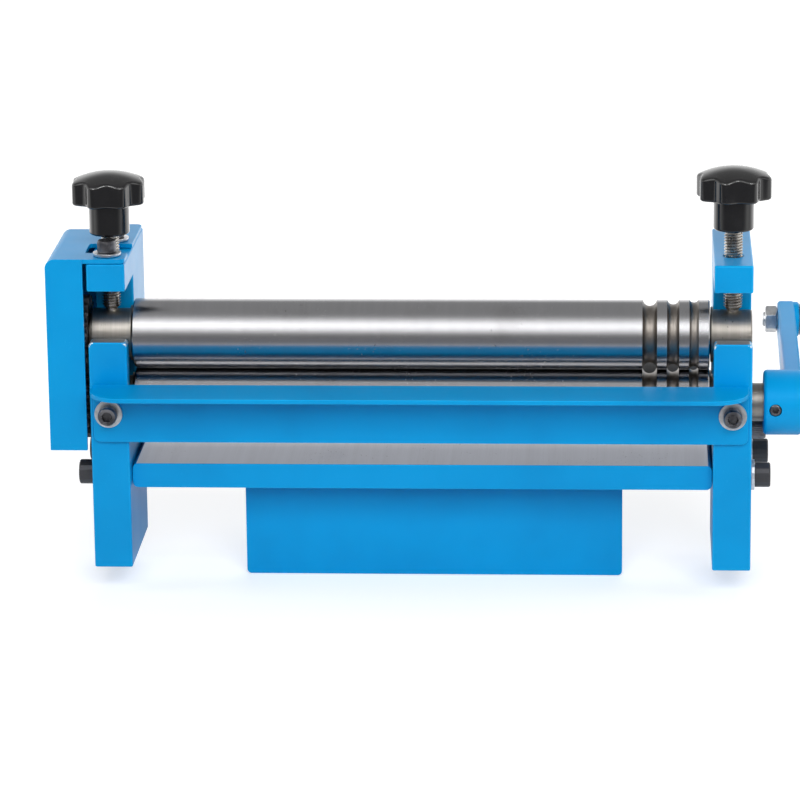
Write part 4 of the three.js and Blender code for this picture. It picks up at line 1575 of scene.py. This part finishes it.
@dataclass
class Rolls:
    """The geared pair of pinch rolls with their wire grooves, and the rear roll."""

    radius: float = 18 * MM
    half: float = 150 * MM
    journal: float = 10 * MM
    rear_journal: float = 8 * MM
    gear_seat: float = 8 * MM
    chamfer: float = 0.6 * MM
    fillet: float = 0.5 * MM
    step: float = 0.4 * MM
    grooves: tuple[Triple, ...] = ((31, 7.1, 3.2), (18.9, 5.8, 2.4), (8.1, 4.3, 1.4))
    groove_edge: float = 0.25 * MM
    grooves_from: float = 110 * MM
    centre_drill: tuple[Pair, ...] = ((3.6, 0), (2.6, 0.75), (1.9, 0.75), (0, 2.2))
    clip_groove: float = 0.8 * MM
    clip_half: float = 0.9 * MM
    key_play: float = 0.1 * MM
    key_depth: float = 5.9 * MM
    gear_gap: float = 0.3 * MM
    steps: int = 144

    def centre(self, x: float, inward: int) -> Profile:
        """The lathe's centre hole in a shaft's end, as place along X and radius."""
        return [(x + inward * depth * MM, radius * MM) for depth, radius in self.centre_drill]

    def groove_profile(self) -> Profile:
        """The wire grooves from the gear side to the crank side.

        Returns:
            Pairs of place along X and radius.
        """
        points = []
        for from_end, width, depth in self.grooves:
            middle, half = self.half - from_end * MM, width * MM / 2
            points.append((middle - half - self.groove_edge, self.radius))
            for share in (i / 7 - 1 for i in range(1, 14)):
                deep = depth * MM * math.sqrt(1 - share * share)
                points.append((middle + share * half, self.radius - deep))
            points.append((middle + half + self.groove_edge, self.radius))
        return points

    def in_groove(self, x: float) -> bool:
        """Whether a place along X lies in a wire groove."""
        return any(abs(x - self.half + from_end * MM) < width * MM / 2 + self.groove_edge
                   for from_end, width, _ in self.grooves)

    def gear_end(self, node: str) -> Profile:
        """The left shaft of a geared roll, from its end to the roll's edge.

        Args:
            node: The roll's node.

        Returns:
            Pairs of place along X and radius.
        """
        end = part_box(node)[0].x
        seat, c = self.gear_seat, self.chamfer
        gear = node.replace("_roll", "_gear")
        clip, clip_end = (middle_of(f"{gear}_clip").x + self.clip_half * side for side in (-1, 1))
        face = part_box(gear)[1].x + self.gear_gap
        deep = seat - self.clip_groove
        return [
            *self.centre(end, 1), (end, seat - c), (end + c, seat), (clip, seat), (clip, deep),
            (clip_end, deep), (clip_end, seat), (face, seat), (face, self.journal - self.step),
            (face + self.step, self.journal), *self.shoulder(self.journal),
        ]

    def shoulder(self, journal: float) -> Profile:
        """The left edge of a roll, from a journal's fillet to the roll's face."""
        return [(-self.half - self.fillet, journal), (-self.half, journal + self.chamfer),
                (-self.half, self.radius - self.chamfer), (-self.half + self.chamfer, self.radius)]

    def crank_end(self, node: str) -> Profile:
        """The right shaft of a roll, from the roll's edge to its end.

        Args:
            node: The roll's node.

        Returns:
            Pairs of place along X and radius.
        """
        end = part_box(node)[1].x
        edge = [(-x, radius) for x, radius in reversed(self.shoulder(self.journal))]
        return [*edge, (end - self.chamfer, self.journal), (end, self.journal - self.chamfer),
                *reversed(self.centre(end, -1))]

    def key_seat(self, roll: Piece, node: str) -> None:
        """Mills the seat of a key into a shaft.

        Args:
            roll: The roll.
            node: The key's node.
        """
        low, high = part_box(node)
        play = Vector((1, 1, 1)) * self.key_play
        seat = block("seat", low - play, high + play + NORTH * self.key_depth)
        round_edges(seat, lambda at, way: abs(way.z) > PARALLEL, (high.y - low.y) * KEY_ROUND, 5)
        combine(roll, seat)

    def geared(self, node: str, line: Axis, *keys: str) -> None:
        """Makes a roll of the geared pair.

        Args:
            node: Its CAD node.
            line: The roll's axis.
            keys: The nodes of its keys.
        """
        profile = along_x([*self.gear_end(node), *self.groove_profile(), *self.crank_end(node)])
        roll = turned(node, profile, line, self.steps)
        for key in keys:
            self.key_seat(roll, key)
        dress(roll, GROUND, TURNED, GROOVED)
        paint_faces(roll, 1, lambda at, _: abs(at.x) > self.half - 0.1 * MM)
        # The wire grooves take the darker, rougher grooved steel.
        rim = self.radius - 0.02 * MM
        paint_faces(roll, 2, lambda at, _: self.grooves_from < at.x < self.half - MM
                    and (at - line.origin).yz.length < rim and self.in_groove(at.x))
        deliver(shade(roll, 30), GROUND, node)

    def idler(self) -> None:
        """Makes the rear roll."""
        journal, c = self.rear_journal, self.chamfer
        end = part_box("rear_roll")[0].x
        left = [*self.centre(end, 1), (end, journal - c), (end + c, journal), *self.shoulder(journal)]
        right = [(-x, r) for x, r in reversed(left)]
        roll = turned("rear_roll", along_x([*left, *right]), REAR, self.steps)
        # The roll is dark steel, painted shade for the nip seen between the rolls.
        dress(roll, SHADE_DARK, TURNED)
        paint_faces(roll, 1, lambda at, _: abs(at.x) > self.half + 2 * MM)
        deliver(shade(roll, 30), SHADE_DARK, "rear_roll")

    def build(self) -> None:
        """Makes the three rolls."""
        self.geared("drive_roll", LOWER, "drive_gear_key", "crank_key")
        self.geared("top_roll", UPPER, "top_gear_key")
        self.idler()


@dataclass
class GearTrain:
    """The two spur gears with their keys and clips."""

    teeth: int = 18
    module: float = 2 * MM
    backlash: float = 0.3 * MM
    bore: float = 8.2 * MM
    hub: float = 12.6 * MM
    relief: float = 0.5 * MM
    relief_end: float = 14.2 * MM
    edge: float = 0.22 * MM
    pressure_angle: float = math.radians(20)
    dedendum: float = 1.25
    fillet: tuple[Pair, ...] = ((0, 0.045), (0.25 * MM, 0.012), (0.7 * MM, 0))
    clip_radius: float = 11 * MM
    clip_inside: float = 7.4 * MM
    clip_eye: float = 1.5 * MM
    clip_eyes: Pair = (math.radians(35), math.radians(145))
    clip_mouth: Pair = (4.5 * MM, 5.6 * MM)
    clip_edge: float = 0.15 * MM
    key_play: float = 0.1 * MM

    def outline(self, half_pitches: int) -> Profile:
        """The gear seen along X, with a tooth that points up.

        Args:
            half_pitches: How far it is turned, in half pitches.

        Returns:
            The corners in order.
        """
        pitch = self.teeth * self.module / 2
        base = pitch * math.cos(self.pressure_angle)
        tip, root = pitch + self.module, pitch - self.dedendum * self.module

        def involute(radius: float) -> float:
            """The involute's turn at a radius."""
            turn = math.acos(min(1, base / radius))
            return math.tan(turn) - turn

        half = math.pi / (2 * self.teeth) - self.backlash / (2 * pitch) + involute(pitch)
        radii = [base + (tip - base) * i / 6 for i in range(7)]
        flank = [(radius, half - involute(radius)) for radius in radii]
        foot = flank[0][1]
        side = [*((root + rise, foot + spread) for rise, spread in self.fillet), *flank]
        turn = math.radians(90 + half_pitches * 180 / self.teeth)
        points = []
        for tooth in range(self.teeth):
            middle = turn + tooth * math.tau / self.teeth
            points += [(r * math.cos(middle - a), r * math.sin(middle - a)) for r, a in side]
            points += [(r * math.cos(middle + a), r * math.sin(middle + a)) for r, a in reversed(side)]
        return points

    def gear(self, word: str, line: Axis, half_pitches: int) -> None:
        """Makes one gear in its place.

        Args:
            word: The gear's word in the names of its nodes.
            line: The gear's axis.
            half_pitches: How far its teeth are turned, in half pitches.
        """
        node = f"{word}_gear"
        low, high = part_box(node)
        shape = [(y + line.origin.y, z + line.origin.z) for y, z in self.outline(half_pitches)]
        gear = prism(node, shape, Plane.YZ, low.x, high.x)
        soften(gear, self.edge, 1)
        hub, rim = self.hub, self.relief_end
        for x, inward in ((low.x, 1), (high.x, -1)):
            outside, inside = x - inward * PAST, x + inward * self.relief
            face = closed([(hub, outside), (hub, inside), (rim, inside), (rim, outside)])
            combine(gear, turned("relief", face, line, 72))
        cut_hole(gear, line, self.bore, low.x - PAST, high.x + PAST, 72)
        cut_keyway(gear, f"{node}_key", line, low.x, high.x, self.key_play)
        deliver(shade(gear, 28), HOBBED, node)

    def clip(self, word: str, line: Axis) -> None:
        """Makes the spring clip on a shaft's groove.

        Args:
            word: The gear's word in the names of its nodes.
            line: The shaft's axis.
        """
        node = f"{word}_gear_clip"
        low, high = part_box(node)
        inside, r = self.clip_inside, self.clip_radius
        band = closed([(inside, low.x), (r, low.x), (r, high.x), (inside, high.x)])
        ring = turned(node, band, line)
        y, z = line.origin.yz
        near, far = self.clip_mouth
        mouth = [(y - near, z), (y - far, z - 2 * r), (y + far, z - 2 * r), (y + near, z)]
        combine(ring, prism("mouth", mouth, Plane.YZ, low.x - PAST, high.x + PAST))
        for way in self.clip_eyes:
            spot = Vector((0, y + math.cos(way) * inside, z + math.sin(way) * inside))
            cut_hole(ring, Axis(spot, ALONG_X), self.clip_eye, low.x - PAST, high.x + PAST)
        deliver(soften(ring, self.clip_edge, 1), BLACK, node)

    def build(self) -> None:
        """Makes both sets."""
        for word, line, half_pitches in (("drive", LOWER, 0), ("top", UPPER, 1)):
            self.gear(word, line, half_pitches)
            parallel_key(f"{word}_gear_key")
            self.clip(word, line)


@dataclass
class Crank:
    """The cast crank on the drive roll, with its key, set screw, bolt and turning grip."""

    length: float = 125 * MM
    slope: float = math.radians(6)
    hub: float = 17 * MM
    hub_length: float = 20 * MM
    arm: float = 9 * MM
    root: float = 12.5 * MM
    tip: float = 10 * MM
    bolt: float = 4 * MM
    head: float = 6.5 * MM
    head_height: float = 4.5 * MM
    grip_radius: float = 13 * MM
    hub_edge: float = 2 * MM
    arm_edge: float = 1.6 * MM
    boss_edge: float = MM
    boss_step: float = 0.4 * MM
    bore: float = 10.2 * MM
    play: float = 0.2 * MM
    set_hole: float = 3.3 * MM
    set_way: Pair = (-5 * MM, 9 * MM)
    set_radius: float = 3 * MM
    set_point: float = 0.8 * MM
    set_edge: float = 0.4 * MM
    set_socket: float = 3 * MM
    bolt_slot: Pair = (0.9 * MM, 2 * MM)

    @property
    def far(self) -> Axis:
        """The line along +X through the arm's far end."""
        arm = Vector((0, math.cos(self.slope), math.sin(self.slope))) * self.length
        return Axis(LOWER.origin + arm, ALONG_X)

    def arm_outline(self) -> Profile:
        """The tapered arm seen along X.

        Returns:
            Its corners in order.
        """
        lean = math.degrees(math.asin((self.root - self.tip) / self.length))
        turn = math.degrees(self.slope)
        near, far = tuple(LOWER.origin.yz), tuple(self.far.origin.yz)
        return [*arc(near, self.root, turn + 90 - lean, turn + 270 + lean, 20),
                *arc(far, self.tip, turn - 90 + lean, turn + 90 - lean, 20)]

    def casting(self) -> None:
        """Makes the hub, the arm and the boss as one casting."""
        low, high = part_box("crank_arm")
        start, end, edge, rim = low.x, low.x + self.hub_length, self.hub_edge, self.hub - self.hub_edge
        profile = [
            (0, start), (rim, start), *arc((rim, start + edge), edge, -90, 0, 4),
            (self.hub, end - edge), *arc((rim, end - edge), edge, 0, 90, 4), (0, end),
        ]
        crank = turned("crank_arm", profile, LOWER)
        bar = prism("bar", self.arm_outline(), Plane.YZ, end - self.arm, end)
        combine(crank, soften(bar, self.arm_edge, 4), Join.ADD)
        edge, back, r = self.boss_edge, end - self.arm, self.tip - self.boss_step
        boss = [(0, back), (self.tip - edge, back), (r, back + edge), (r, high.x - edge),
                (r - edge, high.x), (0, high.x)]
        combine(crank, turned("boss", boss, self.far, 64), Join.ADD)
        cut_hole(crank, LOWER, self.bore, start - PAST, end + PAST, 72)
        cut_keyway(crank, "crank_key", LOWER, start, end, self.play)
        cut_hole(crank, self.far, self.bolt + self.play, start, high.x + PAST, 40)
        cut_hole(crank, Axis(middle_of("crank_set_screw"), -ALONG_Y), self.set_hole, *self.set_way)
        deliver(shade(crank, 32), BLUE_CAST, "crank_arm")

    def set_screw(self) -> None:
        """Makes the headless screw that holds the hub on its key."""
        axis = Axis(middle_of("crank_set_screw"), -ALONG_Y)
        low, high = reach("crank_set_screw", axis)
        r, point, edge, deep = self.set_radius, self.set_point, self.set_edge, self.set_socket
        profile = [(0, low), (r - point, low), (r, low + point), (r, high - edge),
                   (r - edge, high), (0, high)]
        screw = turned("crank_set_screw", profile, steps=40)
        combine(screw, prism("socket", hexagon(deep), Plane.XY, high - deep, high + PAST))
        deliver(soften(place(screw, axis.matrix()), 0.1 * MM, 1), BLACK, "crank_set_screw")

    def grip(self) -> None:
        """Makes the turning grip, swelling towards its free end."""
        low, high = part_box("crank_grip")
        length, r = high.x - low.x, self.grip_radius
        bore, sink = self.bolt + 0.3 * MM, self.head + 0.3 * MM
        deep = self.head_height + MM
        points = [(bore, 0), (r - 4.4 * MM, 0), (r - 3.7 * MM, 0.4 * MM)]
        for share in (i / 24 for i in range(25)):
            swell = r - 3.2 * MM + (2 * math.sin(math.pi * share * 0.9) + 1.2 * share) * MM
            points.append((swell, 2 * MM + share * (length - 6 * MM)))
        crown = points[-1][0]
        points += [
            (crown - 0.6 * MM, length - 2 * MM), (crown - 2 * MM, length - 0.6 * MM),
            (r - 4 * MM, length), (sink + 0.4 * MM, length), (sink, length - 0.4 * MM),
            (sink, length - deep), (bore, length - deep),
        ]
        axis = Axis(self.far.origin + ALONG_X * low.x, ALONG_X)
        deliver(shade(turned("crank_grip", closed(points), axis), 40), PHENOLIC, "crank_grip")

    def bolt_and_nut(self) -> None:
        """Makes the slotted bolt through the grip, and its nut behind the arm."""
        low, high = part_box("handle_bolt")
        start, end, r, head = low.x, high.x, self.bolt, self.head
        seat = end - self.head_height
        profile = [
            (0, start), (r - 0.8 * MM, start), (r, start + 0.8 * MM), (r, seat),
            (head - 0.3 * MM, seat), (head, seat + 0.3 * MM), (head, end - 1.4 * MM),
            (head - 0.5 * MM, end - 0.6 * MM), (head - 1.6 * MM, end - 0.15 * MM), (0, end),
        ]
        bolt = turned("handle_bolt", profile, self.far, 64)
        half, floor = self.bolt_slot
        across = Vector((0, half, head + PAST))
        slot = block("slot", self.far.origin + ALONG_X * (seat + floor) - across,
                     self.far.origin + ALONG_X * (end + PAST) + across)
        deliver(soften(combine(bolt, slot), 0.1 * MM, 1), ZINC, "handle_bolt")
        M8_NUT.fit("handle_nut", self.far)

    def build(self) -> None:
        """Makes the crank and what it carries."""
        self.casting()
        parallel_key("crank_key")
        self.set_screw()
        self.grip()
        self.bolt_and_nut()


@dataclass
class TopAdjusters:
    """The two lift screws with their star knobs."""

    spigot: float = 3 * MM
    spigot_length: float = 2.2 * MM
    spigot_edge: float = 0.4 * MM
    screw: float = 4.9 * MM
    screw_cone: float = 1.6 * MM
    screw_edge: float = MM
    lobes: int = 8
    steps_per_lobe: int = 20
    wave: float = 0.14
    radius: float = 19.8 * MM
    hub: float = 10.5 * MM
    hub_height: float = 16.6 * MM
    wall: float = 11.4 * MM
    dome: float = 4.9 * MM
    rim: float = 1.3 * MM
    bore_depth: float = 21 * MM
    skirt: float = 5 * MM
    skirt_share: float = 0.7
    crown: tuple[float, ...] = (0.82, 0.66, 0.5, 0.34, 0.18, 0)
    left_turn: float = math.radians(26.5)
    right_turn: float = math.radians(30)

    def lift_screw(self) -> Piece:
        """The threaded screw with a plain spigot at its foot, in the height of its node.

        Returns:
            The screw on the Z axis.
        """
        low, high = (corner.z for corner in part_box("lift_screw_left"))
        foot, r, neck = self.spigot, self.screw, low + self.spigot_length
        edge, end = self.spigot_edge, self.screw_edge
        profile = [(0, low), (foot - edge, low), (foot, low + edge), (foot, neck),
                   (r, neck + self.screw_cone), (r, high - end), (r - end, high), (0, high)]
        return M10_THREAD.cut(turned("lift_screw", profile, steps=M10_THREAD.steps * 2), low, high)

    def cap(self, radius: float) -> float:
        """The height of the knob's domed top at a radius."""
        return self.hub_height + self.wall + self.dome * (1 - (radius / self.radius) ** 2)

    def rings(self) -> list[Triple]:
        """The knob's profile from its bore upwards.

        Returns:
            The radius, height and share of the wave of each ring.
        """
        r, low, hub, deep = self.radius, self.hub_height, self.hub, self.bore_depth
        bore = self.screw + 0.2 * MM
        foot = [(0, deep, 0), (bore, deep, 0), (bore, 0, 0), (hub, 0, 0), (hub, low, 0),
                (r - self.skirt, low, self.skirt_share), (r, low, 1)]
        crown = [(r * share, self.cap(r * share), 0) for share in self.crown]
        return [*foot, (r, self.cap(r), 1), *crown]

    def knob(self) -> Piece:
        """The star knob on the Z axis, a lobe towards +X, its foot at height 0.

        Returns:
            The knob.
        """
        rings = self.rings()
        steps = self.lobes * self.steps_per_lobe
        knob = turned("knob", [(r, z) for r, z, _ in rings], steps=steps)
        pitch = math.tau / steps
        with editing(knob):
            for radius, height, share in rings:
                if share == 0:
                    continue
                for phase in range(1, self.steps_per_lobe // 2 + 1):
                    lobe = math.cos(math.tau * phase / self.steps_per_lobe)
                    shrink = 1 - share * self.wave * (0.5 - 0.5 * lobe)
                    self.pull_in(radius, height, phase, pitch, shrink)
        return soften(knob, self.rim, 3)

    def pull_in(self, radius: float, height: float, phase: int, pitch: float, shrink: float) -> None:
        """Pulls in the points of one ring that have one place in a lobe. The rim climbs the dome.

        Args:
            radius: The ring's radius.
            height: The ring's height.
            phase: The points' place in a lobe, counted from its crest in steps.
            pitch: The angle of a step.
            shrink: The factor on their distance from the axis.
        """
        def chosen(at: Vector, _: Vector) -> bool:
            """Whether a point is on the ring and at the place."""
            if abs(at.z - height) > WELD or abs(at.xy.length - radius) > WELD:
                return False
            place_in_lobe = round(math.atan2(at.y, at.x) / pitch) % self.steps_per_lobe
            return place_in_lobe in (phase, self.steps_per_lobe - phase)

        pick(Element.VERT, chosen)
        bpy.ops.transform.resize(value=(shrink, shrink, 1), center_override=(0, 0, 0))
        if height > self.hub_height + self.wall - WELD:
            bpy.ops.transform.translate(value=(0, 0, self.cap(radius * shrink) - height))

    def build(self) -> None:
        """Makes both screws and both knobs."""
        knobs, screws = {}, {}
        for side, turn in ((Side.LEFT, self.left_turn), (Side.RIGHT, self.right_turn)):
            line = Vector((LAYOUT.middle(side), UPPER.origin.y, 0))
            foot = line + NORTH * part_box(f"star_knob_{side.word}")[0].z
            knobs[f"star_knob_{side.word}"] = Matrix.Translation(foot) @ Matrix.Rotation(turn, 4, "Z")
            screws[f"lift_screw_{side.word}"] = Matrix.Translation(line)
        deliver_copies(self.knob(), PHENOLIC, knobs)
        deliver_copies(shade(self.lift_screw(), 40), THREADED, screws)


@dataclass
class RearAdjusters:
    """The slanted screws behind the legs that push the rear bushes, with their lock nuts."""

    shank: float = 4 * MM
    point: float = 3 * MM
    point_length: float = 1.9 * MM
    bite: float = 0.3 * MM

    def screw(self, low: float, high: float) -> Piece:
        """One screw along +Z.

        Args:
            low: The height of its point.
            high: The height of its head's top.

        Returns:
            The screw.
        """
        screw = soften(M8.headpiece(), 0.12 * MM, 1)
        seat, foot, edge = high - M8.height, low + self.point_length, 0.4 * MM
        place(screw, Matrix.Translation((0, 0, seat)))
        end, r = seat + self.bite, self.point
        profile = [(0, low), (r - edge, low), (r, low + edge), (r, foot), (self.shank, foot + MM),
                   (self.shank, end), (0, end)]
        shank = turned("shank", profile, steps=M8_THREAD.steps * 2)
        return shade(combine(screw, M8_THREAD.cut(shank, low, end), Join.ADD), 28)

    def build(self) -> None:
        """Makes both screws and both nuts."""
        for side in Side:
            axis = Axis(REAR.origin + ALONG_X * LAYOUT.middle(side), -UP_SLOT)
            node = f"rear_screw_{side.word}"
            deliver(place(self.screw(*reach(node, axis)), axis.matrix()), BLACK, node)
            M8_NUT.fit(f"rear_lock_nut_{side.word}", axis)


# Studio


@dataclass(frozen=True)
class Softbox:
    """A soft rectangular lamp that no mirror shows."""

    name: str
    at: Triple
    size: Pair
    watts: float

    def build(self, towards: Vector) -> None:
        """Makes the lamp, facing a point.

        Args:
            towards: The point.
        """
        clear_selection()
        turn = (towards - Vector(self.at)).to_track_quat("-Z", "Y").to_euler()
        bpy.ops.object.light_add(type="AREA", location=self.at, rotation=turn)
        lamp = bpy.context.object
        lamp.name = self.name
        lamp.visible_glossy = False
        lamp.data.shape = "RECTANGLE"
        lamp.data.size, lamp.data.size_y = self.size
        lamp.data.energy = self.watts


SOFTBOXES = (
    Softbox("key_softbox", (0.3, -2.6, 1.7), (2.2, 1.5), 70),
    Softbox("left_softbox", (-2.2, -0.3, 1.2), (1.2, 1.2), 14),
    Softbox("right_softbox", (2.2, -0.1, 1.3), (1.2, 1.2), 14),
    Softbox("rear_softbox", (0.3, 2.2, 1.9), (2.0, 1.2), 26),
)


@dataclass
class Studio:
    """The floor, the lights, the world and the camera."""

    floor_height: float = -14.2 * MM
    floor_size: float = 24
    floor_seen: float = 0.46
    floor_under: float = 0.45
    floor_far: float = 1.2
    camera_place: Triple = (0.1135, -2.1496, 0.6738)
    camera_turn: Triple = (1.3027, 0.011, 0.0554)
    lens: float = 190.56
    aim: Triple = (0, 0, 0.08)
    ambient: float = 0.22
    room: float = 0.42
    band: float = 1.85
    rear: float = 0.9
    front_dip: float = 0.08
    strips: float = 16

    def camera(self) -> None:
        """Makes the camera at the photograph's viewing angle."""
        clear_selection()
        bpy.ops.object.camera_add(location=self.camera_place, rotation=self.camera_turn)
        camera = bpy.context.object
        camera.name = "studio_camera"
        camera.data.lens = self.lens
        camera.data.sensor_width = 36
        camera.data.dof.use_dof = False
        bpy.context.scene.camera = camera

    def floor(self) -> None:
        """Makes the pale floor, white to the camera with the object's shadow on it."""
        clear_selection()
        bpy.ops.mesh.primitive_plane_add(size=self.floor_size, location=(0, 0, self.floor_height))
        floor = bpy.context.object
        floor.name = "studio_floor"
        place(floor, Matrix())
        material = bpy.data.materials.new("studio_paper")
        shop = Shop(material)
        seen, glossy = shop.rays()
        depth = shop.axes(shop.place())[1]
        table = glossy * shop.between(0 - depth, 0.1, 0.5)
        colour = shop.blend(table, paint("E6E6E6"), paint("8A8A8E"))
        paper = shop.wire(shop.node("BsdfDiffuse", None, {"Color": colour}))
        under = (1 - table) * (1 - shop.between(depth, -0.02, 0.07))
        far = shop.between(depth, 0.1, 0.55)
        strength = seen * self.floor_seen + glossy * (under * self.floor_under + far * self.floor_far)
        glow = shop.wire(shop.node("Emission", None, {"Color": paint("FFFFFF"), "Strength": strength}))
        both = shop.wire(shop.node("AddShader", None, {0: paper, 1: glow}))
        shop.node("OutputMaterial", None, {"Surface": both})
        floor.data.materials.append(material)

    def world(self) -> None:
        """Makes a world that is white behind the object.

        Mirrors see a room with a soft bright band high in front, a bright strip on each side of
        it and a pale wall low behind.
        """
        world = bpy.data.worlds.new("studio_world")
        bpy.context.scene.world = world
        shop = Shop(world)
        seen, glossy = shop.rays()
        across, depth, height = shop.axes(shop.wire(shop.node("TexCoord"), "Generated"))
        front = shop.between(0 - depth, -0.1, 0.3)
        band = shop.between(height, 0.1, 0.6) * (1 - shop.between(height, 0.68, 1.0))
        horizon = 1 - shop.between(height, 0.25, 0.6)
        beside = shop.math("ABSOLUTE", across)
        strip = shop.between(height, 0.56, 0.6) * (1 - shop.between(height, 0.65, 0.69))
        strips = strip * front * shop.between(beside, 0.2, 0.27) * (1 - shop.between(beside, 0.5, 0.6))
        mirrored = self.room + band * front * self.band + horizon * (1 - front) * self.rear
        mirrored = mirrored - horizon * front * self.front_dip + strips * self.strips
        strength = self.ambient * (1 - glossy) * (1 - seen) + mirrored * glossy + seen
        sky = shop.wire(shop.node("Background", None, {"Color": paint("FFFFFF"), "Strength": strength}))
        shop.node("OutputWorld", None, {"Surface": sky})

    def build(self) -> None:
        """Sets the stage."""
        bpy.context.scene.view_settings.view_transform = "Standard"
        self.world()
        self.floor()
        for softbox in SOFTBOXES:
            softbox.build(Vector(self.aim))
        self.camera()


def main() -> None:
    """Builds the slip roll in order, then the studio."""
    logging.basicConfig(level=logging.INFO, format="%(message)s")
    steps = [SidePlates(), BasePlates(), TieBar(), FrontGuard(), GearCover(), *BUSH_PAIRS,
             Rolls(), GearTrain(), Crank(), TopAdjusters(), RearAdjusters(), Studio()]
    for step in steps:
        log.info("building %s", type(step).__name__)
        step.build()
    clear_selection()


if __name__ == "__main__":
    main()
